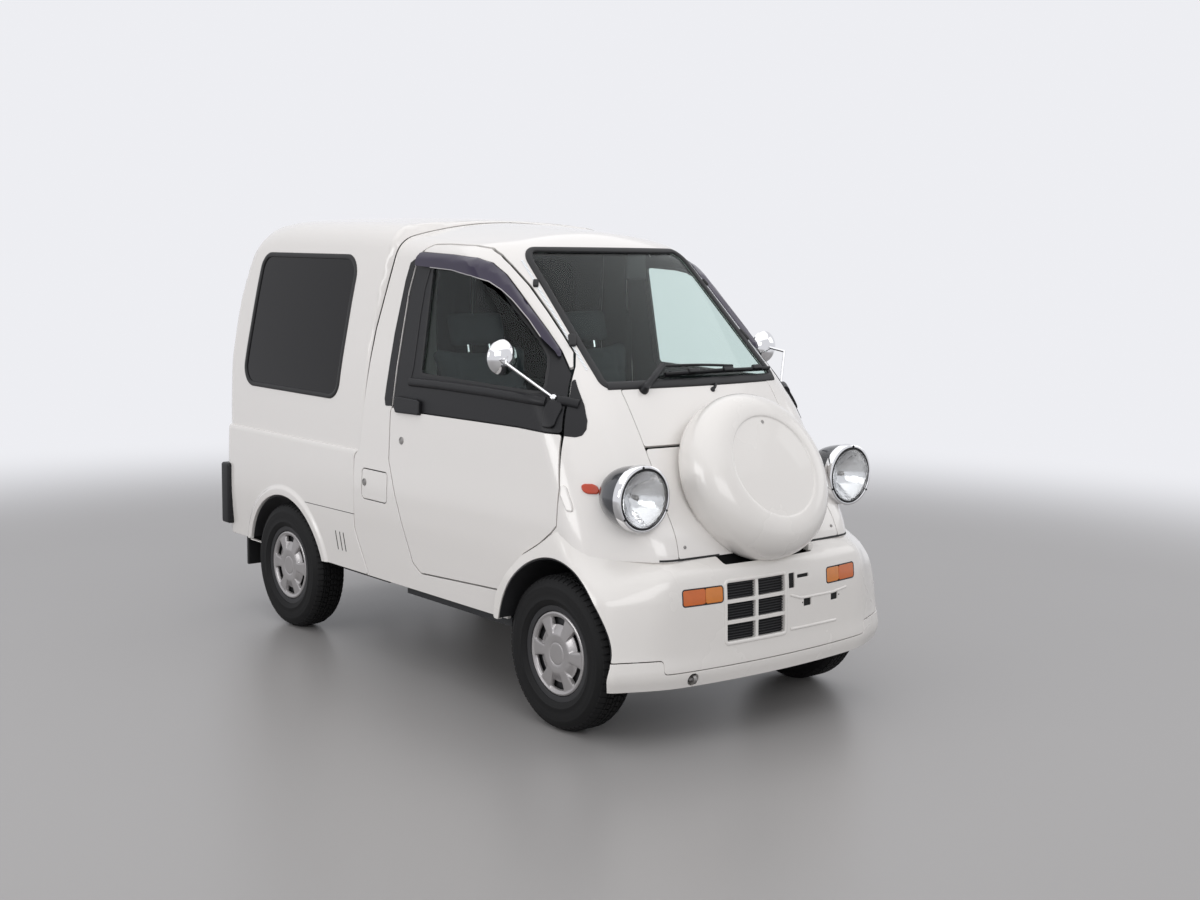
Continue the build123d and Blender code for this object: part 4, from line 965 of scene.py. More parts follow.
half_edge = joined(low_left, bed_seam, belt_left, around_rear(load_bed, bed_top_z, 0.490), gate_low)
bed_edge = joined(half_edge, mirrored(half_edge[::-1]))


FLANK_X, FLANK_BLEND = 0.56, 0.03
LIP_REACH, LIP_BLEND, LIP_STANDS, SHOULDER_BEND = 0.044, 0.020, 0.009, 0.009


def bed_lift(p):
    """The rounded lip round each rear wheel arch, and the shoulder that bends in below the belt."""
    off_arch = np.hypot(p[:, 1] - REAR_ARCH[0], p[:, 2] - REAR_ARCH[1]) - REAR_ARCH[2]
    on_flank = np.clip((np.abs(p[:, 0]) - FLANK_X) / FLANK_BLEND, 0, 1)
    share = np.clip((LIP_REACH - off_arch) / LIP_BLEND, 0, 1)
    up = np.clip((p[:, 2] - BELT_Z + SHOULDER) / SHOULDER, 0, 1)
    lip = LIP_STANDS * share * share * (3 - 2 * share) * on_flank
    return lip - SHOULDER_BEND * (1 - np.sqrt(1 - 0.98 * up * up))


def shoulder_line(z):
    y = np.arange(seam_at(z) + 0.012, REAR_CORE[1], LINE_STEP)
    return joined(seen_from_side(load_bed, np.column_stack([y, np.full(len(y), z)])),
                  around_rear(load_bed, z, 0.500))


lip_lines = [seen_from_side(load_bed, arc(REAR_ARCH[:2], REAR_ARCH[2] + out, 17, 163))
             for out in (0.012, 0.023, 0.029, 0.035, 0.041, 0.046)]
lip_lines += [shoulder_line(BELT_Z - SHOULDER * share) for share in (1.0, 0.7, 0.42)]
skin("bed_skin", load_bed, [bed_edge], BED_CORE, BACK, WHITE, "body", "white_paint", ["bed_shell"],
     edge=0.003, lift=bed_lift, extra=lip_lines + [mirrored(line) for line in lip_lines])

# Load box
box_low_z = BELT_Z - 0.009
box_seam = seam_line(load_box, HALF_JOIN, box_low_z)
box_belt_y = np.arange(seam_at(box_low_z) + HALF_JOIN, REAR_CORE[1], LINE_STEP)
box_belt = seen_from_side(load_box, np.column_stack([box_belt_y, np.full(len(box_belt_y), box_low_z)]))
gate_frame = divided(rounded([(490, 807), (490, 1100), (440, 1560), (0, 1560)], 0.04, closed=False),
                     closed=False)
gate_frame = seen_from_end(load_box, gate_frame, 1, GATE_CORE_Y)
left_half = joined(gate_frame[::-1], around_rear(load_box, box_low_z, 0.490)[::-1], box_belt[::-1],
                   box_seam[:len(box_seam) // 2 + 1])
right_half = mirrored(left_half[::-1])
box_edge = joined(left_half, right_half)
side_hole = box_window_loop()
skin("box_skin", load_box, [box_edge, side_hole, mirrored(side_hole)[::-1]], BOX_CORE, UP, WHITE, "body",
     "white_paint", ["box_shell"])
skin_pair("box_window", load_box, [box_window_loop(-0.002)], BOX_CORE, LEFT, DARK_GLASS, FIXED,
          "privacy_glass", ["side_glasses"], **GLASS_SHEET)
bead_pair("box_window_rubber", load_box, box_window_loop(0.002), half_round(0.020, 0.005, 0.006), RUBBER,
          FIXED, closed=True)

# Tailgate
gate_edge = gate_loop(GATE, 0.04, -HALF_GAP)
gate_hole = gate_loop(GATE_WINDOW, 0.05)
skin("tailgate_skin", load_box, [gate_edge, gate_hole], GATE_CORE, BACK, WHITE, "tailgate", "white_paint",
     ["tailgate"], thick=0.016)
skin("tailgate_window", load_box, [gate_loop(GATE_WINDOW, 0.05, -0.002)], GATE_CORE, BACK, DARK_GLASS,
     "tailgate", "privacy_glass", ["tailgate_glass"], **GLASS_SHEET)
bead("tailgate_rubber", load_box, gate_loop(GATE_WINDOW, 0.05, 0.002), half_round(0.020, 0.005, 0.006),
     RUBBER, "tailgate", closed=True)

# Bumper with its flares, and the lip below it
FLARE = [(284, 332), (312, 332), (302, 420), (242, 502), (171, 571), (87, 618), (-17, 686), (-95, 703),
         (-195, 686), (-277, 621)]
flare_left = side_line(bumper, FLARE, 0.045)
front_top = front_line(bumper, [(440, 607), (201, 607), (194, 584), (-217, 584), (-224, 607), (-440, 607)],
                       0.008)
arch_left = seen_from_side(bumper, arc(FRONT_ARCH[:2], 0.300, 7.6, 178.0))
BUMPER_HALF = 640
LIP_HALF, LIP_LOW, LIP_HIGH = 479, 254.5, 300


def lip_line(shift):
    """The line between the bumper and its lip, from the left arch to the right, moved up in millimetres."""
    low, high = LIP_LOW + shift, LIP_HIGH + shift
    half = [(BUMPER_HALF, high), (LIP_HALF, high), (LIP_HALF, low)]
    return front_line(bumper, half + [(-x, z) for x, z in half[::-1]], 0.012, LIP_CORE_Y)


bumper_edge = joined(flare_left, front_top, mirrored(flare_left[::-1]), mirrored(arch_left),
                     lip_line(1)[::-1], arch_left[::-1])


def cell(x_low, x_high, z_low, z_high, radius=0.004):
    return bumper_loop(oblong(x_low, x_high, z_low, z_high), radius)


GRILLE_X, GRILLE_Z, GRILLE_BAR = (-231, 29), (333, 527), 13
cell_w = (GRILLE_X[1] - GRILLE_X[0] - GRILLE_BAR) / 2
cell_h = (GRILLE_Z[1] - GRILLE_Z[0] - 2 * GRILLE_BAR) / 3
holes = []
for column in range(2):
    for row in range(3):
        x = GRILLE_X[0] + column * (cell_w + GRILLE_BAR)
        z = GRILLE_Z[0] + row * (cell_h + GRILLE_BAR)
        holes.append(cell(x, x + cell_w, z, z + cell_h))
holes += [cell(50, 78, 476, 527), cell(92, 150, 506, 518)]
holes += [cell(x - 19, x + 19, 405, 433, 0.003) for x in (144, 291)]
holes += [cell(247, 409, 467, 522, 0.010), cell(-409, -247, 467, 522, 0.010)]
bumper_sheet("bumper_skin", [bumper_edge] + holes, WHITE_PLASTIC, "white_plastic", ["front_bumper"],
             thick=0.018)

lip_side = seen_from_side(bumper, arc(FRONT_ARCH[:2], 0.300, 181.0, 197.5, 0.009))
lip_foot = front_line(bumper, [(BUMPER_HALF, 201), (-BUMPER_HALF, 201)], core_y=LIP_CORE_Y)
lip_edge = joined(lip_line(-2), mirrored(lip_side), lip_foot[::-1], lip_side[::-1])
HOOK_X, HOOK_Z, HOOK_R = -0.370, 0.226, 0.021
hook_angles = np.radians(np.arange(0, 360, 15))
hook_ring = np.column_stack([HOOK_X + HOOK_R * np.cos(hook_angles), HOOK_Z + HOOK_R * np.sin(hook_angles)])
hook_hole = seen_from_end(bumper, hook_ring, -1, BUMPER_CORE_Y)
skin("lip_skin", bumper, [lip_edge, hook_hole], LIP_CORE, AHEAD, WHITE_PLASTIC, "body", "white_plastic",
     ["bumper_lip"], thick=0.016)


# Rules for what repeats
def rule_tree(name, sizes):
    """An empty node tree that takes a start mesh and named sizes."""
    tree = bpy.data.node_groups.new(name, "GeometryNodeTree")
    tree.interface.new_socket("Start", in_out="INPUT", socket_type="NodeSocketGeometry")
    for label, kind in sizes:
        tree.interface.new_socket(label, in_out="INPUT", socket_type=kind)
    tree.interface.new_socket("Finish", in_out="INPUT", socket_type="NodeSocketMaterial")
    tree.interface.new_socket("Made", in_out="OUTPUT", socket_type="NodeSocketGeometry")
    return tree, tree.nodes.new("NodeGroupInput"), tree.nodes.new("NodeGroupOutput")


def close_tree(tree, given, put_out, instances):
    """The last steps of each rule: real meshes with their material."""
    real, dress = tree.nodes.new("GeometryNodeRealizeInstances"), tree.nodes.new("GeometryNodeSetMaterial")
    tree.links.new(instances, real.inputs["Geometry"])
    wired(tree.links, (real, "Geometry", dress, "Geometry"), (given, "Finish", dress, "Material"),
          (dress, "Geometry", put_out, "Made"))
    return tree


def set_round_tree():
    """Copies of a start piece, turned evenly about an axis along x."""
    tree, given, put_out = rule_tree("set_round_an_axle", [("Count", "NodeSocketInt")])
    nodes, links = tree.nodes, tree.links
    points, index = added(nodes, "GeometryNodePoints", "GeometryNodeInputIndex")
    step, turn = added(nodes, "ShaderNodeMath", "ShaderNodeMath")
    step.operation, turn.operation = "DIVIDE", "MULTIPLY"
    step.inputs[0].default_value = math.tau
    angles, rotation = added(nodes, "ShaderNodeCombineXYZ", "FunctionNodeEulerToRotation")
    place = nodes.new("GeometryNodeInstanceOnPoints")
    wired(links, (given, "Count", points, "Count"), (given, "Count", step, 1), (index, "Index", turn, 0),
          (step, 0, turn, 1), (turn, 0, angles, "X"), (angles, 0, rotation, "Euler"),
          (points, 0, place, "Points"), (given, "Start", place, "Instance"), (rotation, 0, place, "Rotation"))
    return close_tree(tree, given, put_out, place.outputs["Instances"])


def set_along_tree(name, stepped):
    """Copies of an item on a line's points, or at even steps along it, with z along "facing"."""
    sizes = [("Item", "NodeSocketObject")] + ([("Pitch", "NodeSocketFloat")] if stepped else [])
    tree, given, put_out = rule_tree(name, sizes)
    nodes, links = tree.nodes, tree.links
    facing = nodes.new("GeometryNodeInputNamedAttribute")
    facing.data_type = "FLOAT_VECTOR"
    facing.inputs["Name"].default_value = "facing"
    stand = nodes.new("FunctionNodeAlignRotationToVector")
    stand.axis = "Z"
    item, place = added(nodes, "GeometryNodeObjectInfo", "GeometryNodeInstanceOnPoints")
    wired(links, (facing, "Attribute", stand, "Vector"), (given, "Item", item, "Object"),
          (item, "Geometry", place, "Instance"))
    if stepped:
        curve, even = added(nodes, "GeometryNodeMeshToCurve", "GeometryNodeResampleCurve")
        even.mode = "LENGTH"
        tangent, turn = added(nodes, "GeometryNodeInputTangent", "FunctionNodeAlignRotationToVector")
        turn.axis, turn.pivot_axis = "X", "Z"
        wired(links, (given, "Start", curve, "Mesh"), (curve, "Curve", even, "Curve"),
              (given, "Pitch", even, "Length"), (even, "Curve", place, "Points"),
              (stand, "Rotation", turn, "Rotation"), (tangent, "Tangent", turn, "Vector"),
              (turn, "Rotation", place, "Rotation"))
    else:
        wired(links, (given, "Start", place, "Points"), (stand, "Rotation", place, "Rotation"))
    return close_tree(tree, given, put_out, place.outputs["Instances"])


ROUND_AXLE = set_round_tree()
ALONG_LINE = set_along_tree("set_along_a_line", True)
AT_POINTS = set_along_tree("set_at_points", False)


def plain_object(verts, edges=(), faces=()):
    mesh = bpy.data.meshes.new("start")
    mesh.from_pydata([tuple(v) for v in verts], [tuple(e) for e in edges], [tuple(f) for f in faces])
    return placed("start", mesh)


def mesh_data(mesh):
    verts = np.empty(3 * len(mesh.vertices))
    mesh.vertices.foreach_get("co", verts)
    return verts.reshape(-1, 3), [tuple(p.vertices) for p in mesh.polygons]


def ruled(tree, start, settings, facing=None):
    """The plain mesh, as verts and faces, that a rule makes from a start object, which it uses up."""
    if facing is not None:
        held = start.data.attributes.new("facing", "FLOAT_VECTOR", "POINT")
        held.data.foreach_set("vector", np.ravel(facing).astype(np.float32))
    rule = start.modifiers.new("rule", "NODES")
    rule.node_group = tree
    for socket in tree.interface.items_tree:
        if socket.in_out == "INPUT" and socket.name in settings:
            rule[socket.identifier] = settings[socket.name]
    start.data.update()
    graph = bpy.context.evaluated_depsgraph_get()
    found = mesh_data(bpy.data.meshes.new_from_object(start.evaluated_get(graph)))
    bpy.data.objects.remove(start)
    return found


def welded(verts, faces, distance=2e-5):
    """A mesh whose touching copies are joined, with its outside out."""
    mesh = bpy.data.meshes.new("weld")
    mesh.from_pydata([tuple(v) for v in verts], [], faces)
    work = bmesh.new()
    work.from_mesh(mesh)
    bmesh.ops.remove_doubles(work, verts=work.verts, dist=distance)
    bmesh.ops.dissolve_degenerate(work, dist=1e-6, edges=work.edges)
    bmesh.ops.recalc_face_normals(work, faces=work.faces)
    work.to_mesh(mesh)
    work.free()
    return mesh_data(mesh)


def together(*meshes):
    """Several meshes as one."""
    verts, faces, first = [], [], 0
    for v, f in meshes:
        verts.append(np.asarray(v, float))
        faces += [tuple(i + first for i in face) for face in f]
        first += len(v)
    return np.concatenate(verts), faces


def block_mesh(low, high, radius, steps=3):
    """A block with rounded edges, in millimetres."""
    low, high = np.array(low, float), np.array(high, float)
    radius = min(radius, 0.49 * float((high - low).min()))
    bends = radius * np.tan(np.linspace(math.pi / 4, 0, steps + 1))
    lines = [np.concatenate([low[k] + radius - bends, (high[k] - radius + bends[::-1])]) for k in range(3)]
    known, verts, faces = {}, [], []

    def vert(p):
        key = tuple(np.round(p, 4))
        if key not in known:
            core = np.clip(p, low + radius, high - radius)
            known[key] = len(verts)
            verts.append(core + unit(np.array(p) - core) * radius)
        return known[key]

    for axis in range(3):
        u, v = [k for k in range(3) if k != axis]
        for end in (low[axis], high[axis]):
            for i in range(len(lines[u]) - 1):
                for j in range(len(lines[v]) - 1):
                    face = []
                    for a, b in ((i, j), (i + 1, j), (i + 1, j + 1), (i, j + 1)):
                        p = np.zeros(3)
                        p[axis], p[u], p[v] = end, lines[u][a], lines[v][b]
                        face.append(vert(p))
                    faces.append(tuple(face))
    verts, faces = welded(np.array(verts) * MM, faces)
    return verts, outward(faces, verts)


def turned_to(mesh, place, along, across=(0.0, 0.0, 1.0)):
    """A mesh made about the origin, moved to a place with its z along a direction."""
    z = unit(np.array(along, float))
    x = unit(np.cross(across, z))
    y = np.cross(z, x)
    return np.asarray(mesh[0]) @ np.stack([x, y, z]) + np.array(place, float), mesh[1]


def moved(mesh, by):
    return np.asarray(mesh[0]) + np.array(by, float), mesh[1]


def tube_mesh(path, radius, sides=16):
    """A round tube along a path, closed at its ends."""
    path = np.array(path, float)
    t = unit(np.gradient(path, axis=0))
    u = unit(np.cross(t, (0.3, 0.2, 0.93)))
    v = np.cross(t, u)
    angles = np.arange(sides) * math.tau / sides
    radii = np.broadcast_to(np.asarray(radius, float), len(path))
    ring = u[:, None] * np.cos(angles)[None, :, None] + v[:, None] * np.sin(angles)[None, :, None]
    verts = (path[:, None] + ring * radii[:, None, None]).reshape(-1, 3)
    return verts, outward(swept_faces(len(path), sides), verts)


def bent(points, radius, step=0.006):
    """A path in space through points in millimetres with its corners rounded."""
    points = mm(points)
    found = [points[0]]
    for a, b, c in zip(points[:-2], points[1:-1], points[2:]):
        cut = min(radius, 0.45 * np.linalg.norm(a - b), 0.45 * np.linalg.norm(c - b))
        first, last = b + unit(a - b) * cut, b + unit(c - b) * cut
        for t in np.linspace(0, 1, max(3, int(cut * 2 / step))):
            found.append(first * (1 - t) ** 2 + 2 * b * t * (1 - t) + last * t * t)
    found.append(points[-1])
    return np.array(found)


def on_side(form, y, z, side=1):
    """A point of a form's side and its outward normal, for y and z in millimetres."""
    p = seen_from_side(form, mm([(y, z)]), side)
    return p[0], slope_of(form, p)[0]


def on_front(form, x, z, core_y=NOSE_CORE_Y):
    p = seen_from_end(form, mm([(x, z)]), -1, core_y)
    return p[0], slope_of(form, p)[0]


def shape_about(profile, steps=24):
    """A turned shape about the z axis from a (radius, along) profile in millimetres."""
    return turned_mesh(mm(profile), (0, 0, 0), (0, 0, 1), steps)


# Tyres: a carcass with its side ribs, and tread blocks set round the axle
TYRE_HALF = [(148.5, 47.2), (154, 49.5), (163.4, 55.6), (163.6, 60), (170, 64.5), (178, 67.8), (181, 68.9),
             (182, 70), (187, 70.6), (188, 70.0), (205, 72.4), (216, 72.3), (222, 71.6), (224, 72.0),
             (229, 71.0), (231, 69.6), (240, 66.2), (248, 60.5), (253, 54), (256, 47), (256.6, 37), (255, 36),
             (255, 27), (256.6, 26), (256.6, 9), (255, 8)]
BLOCK_ROWS = [(-61.0, -39.5, 0.0, 5.0), (-35.5, -27.5, 0.35, 9.0), (-25.0, -10.5, -0.3, 2.0),
              (-6.5, 6.5, 0.3, 0.0), (10.5, 25.0, -0.3, 7.0), (27.5, 35.5, 0.35, 3.0), (39.5, 61.0, 0.0, 0.0)]
PITCHES, HALF_PITCH, TREAD_R = 66, 0.0375, 260


def crown_r(x):
    """The tread's outer radius at a distance from the tyre's middle, in millimetres."""
    return np.interp(abs(x), [0, 30, 38, 50, 61, 66], [262.9, 262.9, 262.4, 259.0, 251.0, 243.0])


def tread_blocks():
    """One pitch of the tread: a row of chamfered blocks across the tyre."""
    verts, faces = [], []
    for x_low, x_high, skew, shift in BLOCK_ROWS:
        first = len(verts)
        for level, inset in ((-8.5, 0.0), (-1.0, 0.0), (0.0, 0.9)):
            for x, way in ((x_low, -1), (x_high, -1), (x_high, 1), (x_low, 1)):
                x_in = x + (inset if x == x_low else -inset)
                lean = skew * (x - (x_low + x_high) / 2)
                angle = way * (HALF_PITCH - inset / TREAD_R) + lean / TREAD_R + shift / TREAD_R
                r = crown_r(x_in) + level
                verts.append((x_in * MM, -r * math.sin(angle) * MM, r * math.cos(angle) * MM))
        for k in range(4):
            m = (k + 1) % 4
            for level in (0, 4):
                faces.append((first + level + k, first + level + m, first + level + 4 + m,
                              first + level + 4 + k))
        faces += [(first + 3, first + 2, first + 1, first), (first + 8, first + 9, first + 10, first + 11)]
    return np.array(verts), faces


carcass = turned_mesh(mm(TYRE_HALF + [(r, -x) for r, x in TYRE_HALF[::-1]]), (0, 0, 0), (1, 0, 0), 120)
block_verts, block_faces = tread_blocks()
blocks = ruled(ROUND_AXLE, plain_object(block_verts, (), block_faces), {"Count": PITCHES, "Finish": TYRE})
tyre_mesh = together(carcass, blocks)

# Wheel covers: one sixth with its window, set round the axle and welded
COVER_R = [0, 16, 30, 36, 38, 40, 48, 56, 62, 67, 72, 78, 85, 92, 98, 102, 107, 113, 119, 122.5, 125, 128,
           130.5, 133, 136, 139, 141.3, 142.4, 142.4]
COVER_HALF_ANGLES = [0, 5, 9, 12, 14.5, 16, 17.5, 19.5, 22, 26, 30]
WINDOW_R, WINDOW_ANGLE = (98, 122.5), 16


def eased(t):
    t = np.clip(t, 0, 1)
    return t * t * (3 - 2 * t)


def cover_height(r, angle):
    """How far a wheel cover's face stands out from the wheel's middle, in millimetres."""
    plain = np.interp(r, [0, 35.5, 38, 40.5, 50, 64, 76, 128, 131, 136, 140, 141.5, 142.4],
                      [59, 59, 57.9, 59, 59.4, 60, 58.8, 55.0, 56.0, 57.8, 57.0, 55.2, 52.5])
    scoop = 12.5 * eased((r - 64) / 34) * eased((18.2 - abs(angle)) / 3.4) * (1 - eased((r - 119) / 9))
    return plain - scoop


def cover_sector():
    """One sixth of a wheel cover, as thick as its windows are deep."""
    half = COVER_HALF_ANGLES
    angles = [-a for a in half[:0:-1]] + half
    columns, rows = len(angles), len(COVER_R)
    front, back = [], []
    for i, r in enumerate(COVER_R):
        for a in angles:
            turn = math.radians(a)
            x = cover_height(r, a) if i < rows - 1 else 42.0
            front.append((x * MM, -r * math.sin(turn) * MM, r * math.cos(turn) * MM))
            back.append((42.0 * MM, -r * math.sin(turn) * MM, r * math.cos(turn) * MM))
    count = len(front)

    def in_window(i, j):
        return WINDOW_R[0] <= COVER_R[i] < WINDOW_R[1] and -WINDOW_ANGLE <= angles[j] < WINDOW_ANGLE

    faces = []
    for i in range(rows - 1):
        for j in range(columns - 1):
            quad = [i * columns + j, i * columns + j + 1, (i + 1) * columns + j + 1, (i + 1) * columns + j]
            if in_window(i, j):
                continue
            faces.append(tuple(quad))
            if i < rows - 2:
                faces.append(tuple(count + k for k in quad[::-1]))
            for k, (ni, nj) in enumerate(((i - 1, j), (i, j + 1), (i + 1, j), (i, j - 1))):
                if 0 <= nj < columns - 1 and ni >= 0 and in_window(ni, nj):
                    a, b = quad[k], quad[(k + 1) % 4]
                    faces.append((b, a, count + a, count + b))
    return np.array(front + back), faces


sector_verts, sector_faces = cover_sector()
cover_mesh = welded(*ruled(ROUND_AXLE, plain_object(sector_verts, (), sector_faces),
                           {"Count": 6, "Finish": SILVER}))
RIM = [(141, -55), (146, -57), (158, -58.6), (163, -58.8), (163.2, -56.5), (159, -55.4), (150, -49.5),
       (147.8, -45), (147.8, 45), (150, 49.5), (159, 55.4), (163.2, 56.5), (163, 58.8), (158, 58.6),
       (146, 57), (143.5, 54), (143.5, 40), (141, 36)]
DRUM = [(16, -30), (92, -30), (96, -26), (98, 4), (106, 13), (138, 20), (143, 24), (143, 30), (132, 32),
        (70, 32), (40, 40), (16, 40)]
rim_mesh = together(turned_mesh(mm(RIM), (0, 0, 0), (1, 0, 0), 96),
                    turned_mesh(mm(DRUM), (0, 0, 0), (1, 0, 0), 64))
for corner, side, y in (("front_left", 1, 0.0), ("front_right", -1, 0.0), ("rear_left", 1, REAR_AXLE),
                        ("rear_right", -1, REAR_AXLE)):
    body = f"wheel_{corner}"
    for part, mesh, finish, slot, replaced in (
            ("tyre_tread", tyre_mesh, TYRE, "tyre", [f"tyre_{corner}"]),
            ("wheel_cover", cover_mesh, SILVER, "wheel_silver", [f"wheel_{corner}"]),
            ("wheel_rim", rim_mesh, CHASSIS, "chassis_black", [])):
        place = (HALF_TRACK, y, HUB_Z)
        shape = moved(mesh, place)
        piece(f"{part}_{corner}", shape if side > 0 else mirror_mesh(shape), finish, body, slot, replaced,
              angle=28 if part == "wheel_cover" else 40)

# Spare wheel cover
SPARE_TILT = math.radians(27)
SPARE_MIDDLE, SPARE_AXIS = mm((0, -268, 832)), np.array((0, -math.cos(SPARE_TILT), math.sin(SPARE_TILT)))
around = [(197 + 95 * math.cos(a), 45 + 94.9 * math.sin(a)) for a in np.linspace(0, math.pi / 2, 14)]
SPARE = [(0, -44), (240, -44), (256, -42), (272, -33), (284, -18), (290, 0), (292, 20)] + around
SPARE += [(184, 140.2), (180.5, 139.6), (179, 137.6), (177.5, 136.4), (175, 136.4), (120, 138.0), (60, 139.0),
          (0, 139.3)]
piece("spare_cover_shell", turned_mesh(mm(SPARE), SPARE_MIDDLE, SPARE_AXIS, 128), WHITE_PLASTIC,
      slot="white_plastic", replaces=["spare_wheel_cover"], angle=50)
SPARE_FACE, LOCK_X, LOCK_DROP = 0.1372, 0.012, 0.158
lock_place = np.array((LOCK_X, 0.0, 0.0)) + SPARE_MIDDLE + SPARE_FACE * SPARE_AXIS
lock_place = lock_place - LOCK_DROP * unit(np.cross(SPARE_AXIS, (-1, 0, 0)))
LOCK = [(0, -3), (6.5, -3), (6.5, 0.8), (5.6, 1.4), (3.4, 1.4), (2.8, 0.4), (0, 0.4)]
piece("spare_cover_lock", turned_to(shape_about(LOCK), lock_place, SPARE_AXIS), STEEL, slot="steel")

# Headlamps: bowl, bright rim, rubber ring, lens, reflector and its screws
LAMP = mm((490, -299, 812))
BOWL = [(0, -170), (30, -169), (52, -163), (68, -152), (81, -136), (90, -118), (97, -96), (102, -72),
        (105.5, -48), (107, -26), (104, -24), (100, -24), (96, -60), (84, -110), (60, -145), (0, -155)]
BEZEL = [(106.5, -34), (110, -32), (110, -8), (108.5, -3), (105, -0.8), (100.5, -1.4), (97.6, -5),
         (97.0, -12), (102, -16), (104, -30)]
SEAL = [(97.4, -14), (97.4, -3.5), (95.5, -2.0), (92.0, -3.0), (91.4, -14)]
dome = [(92.2 * math.sin(a) / math.sin(0.62), (math.cos(a) - math.cos(0.62)) * 100)
        for a in np.linspace(0, 0.62, 12)]
LENS_FORM = [(r, 0.2 + h) for r, h in dome] + [(92.0, -5), (89.5, -5)] + [(r * 0.972, h - 3.2)
                                                                          for r, h in dome[::-1]]
bowl_curve = [(90 * t, -10 - 62 * (1 - t * t)) for t in np.linspace(1, 0, 12)]
MIRROR_BOWL = bowl_curve + [(0, -76)] + [(r + 2.5, h - 3) for r, h in bowl_curve[::-1]]
MIRROR_BOWL[-1] = (92.5, -10)
BULB = [(0, -60), (9, -60), (9, -42), (5, -36), (0, -34)]
for name, profile, finish, slot, replaced in (
        ("lamp_bowl", BOWL, POD_GREY, "dark_plastic", ["headlamp_pods"]),
        ("lamp_rim", BEZEL, CHROME, "chrome", []),
        ("lamp_seal", SEAL, RUBBER, "dark_plastic", []),
        ("lamp_lens", LENS_FORM, LENS, "lens", ["headlamp_lenses"]),
        ("lamp_reflector", MIRROR_BOWL, REFLECTOR, "chrome", []),
        ("lamp_bulb", BULB, STEEL, "steel", [])):
    mesh = turned_mesh(mm(profile), LAMP, AHEAD, 96)
    pair(name, mesh, finish, FIXED, slot, replaced, angle=40)
SCREW = [(0, -2), (3.6, -2), (3.6, 0.9), (3.0, 1.8), (1.2, 2.2), (1.0, 1.1), (0, 1.1)]
CROSS_SCREW = shape_about(SCREW, 12)


def screws_at(name, points, facing, material=STEEL, slot="steel", size=1.0):
    """Screw heads at points, made as one piece."""
    item = plain_object(np.asarray(CROSS_SCREW[0]) * size, (), CROSS_SCREW[1])
    made = ruled(AT_POINTS, plain_object(points), {"Item": item, "Finish": material}, facing)
    bpy.data.objects.remove(item)
    piece(name, made, material, slot=slot)


ring_turns, RIM_R = np.radians([85, 205, 325]), 0.1035
lamp_screws = np.column_stack([RIM_R * np.cos(ring_turns), np.full(3, 0.0005),
                               RIM_R * np.sin(ring_turns)]) + LAMP
lamp_screws = np.concatenate([lamp_screws, mirrored(lamp_screws)])
screws_at("lamp_rim_screws", lamp_screws, np.tile(AHEAD, (6, 1)), BLACK, slot="dark_plastic", size=1.1)
foot = block_mesh((-26, -16, -34), (26, 16, 4), 7)
pair("lamp_foot", moved(foot, (0.470, -0.165, 0.712)), POD_GREY, FIXED)

# Signals and side markers
for part, x_low, x_high, finish in (("outer", 319, 407.6, AMBER), ("inner", 248.4, 318.4, LIGHT_AMBER)):
    outline = oblong(x_low, x_high, 468.4, 520.6)
    bumper_pair(f"signal_{part}", [bumper_loop(outline, 0.009)], finish, "amber", ["front_signals"],
                thick=0.012, inset=-0.0008, edge=0.0025, grid=0.012)
signal_rim = bumper_loop(oblong(247.5, 408.5, 467.5, 521.5), 0.010)
bead_pair("signal_seal", bumper, signal_rim, half_round(0.0045, 0.0012, 0.003), RUBBER, FIXED, closed=True)
# A near-black sheet deep behind the signal lenses: painted shade inside the lamps
signal_back = bumper_loop(oblong(244, 412, 464, 525), 0.010)
bumper_pair("signal_back", [signal_back], PAINTED_SHADE, "dark_plastic", thick=0.003, inset=0.019)
MARKER = oblong(528, 567, 809, 841)
skin_pair("side_marker", cab, [end_loop(cab, MARKER, 0.014, core_y=NOSE_CORE_Y)], NOSE_CORE, (0.6, -1, 0),
          MARKER_LENS, FIXED, "amber", thick=0.010, inset=-0.008, edge=0.005, grid=0.008)

# Door visors: they stand off the door, most along their ridge
VISOR_TOP_LINE, VISOR_LOW_LINE = mm(VISOR_TOP), mm(VISOR_LOW)


def off_line(q, line):
    """Distances of flat points from a line."""
    best = np.full(len(q), 1e9)
    for a, b in zip(line[:-1], line[1:]):
        t = np.clip(((q - a) @ (b - a)) / max(1e-12, (b - a) @ (b - a)), 0, 1)
        best = np.minimum(best, np.linalg.norm(q - a - t[:, None] * (b - a), axis=1))
    return best


def visor_lift(p):
    q = p[:, 1:]
    top, low = off_line(q, VISOR_TOP_LINE), off_line(q, VISOR_LOW_LINE)
    share = top / np.maximum(top + low, 1e-6)
    return 0.004 + 0.015 * np.minimum(1.0, share / 0.45) ** 0.8


visor_loop = side_loop(cab, VISOR_TOP + VISOR_LOW, 0.008)
cab_sides("rain_visor", [visor_loop], VISOR, DOOR_BODIES, "dark_plastic", thick=0.003, lift=visor_lift,
          edge=0.001, grid=0.012)
low_line = side_line(cab, VISOR_LOW[1:-1], 0.03)
low_line = low_line + slope_of(cab, low_line) * 0.0188
bead_pair("visor_edge", cab, low_line, [(0.0015, -0.002), (0.0015, 0.0010), (-0.0015, 0.0010),
                                        (-0.0015, -0.002)], SILVER, DOOR_BODIES, "chrome")

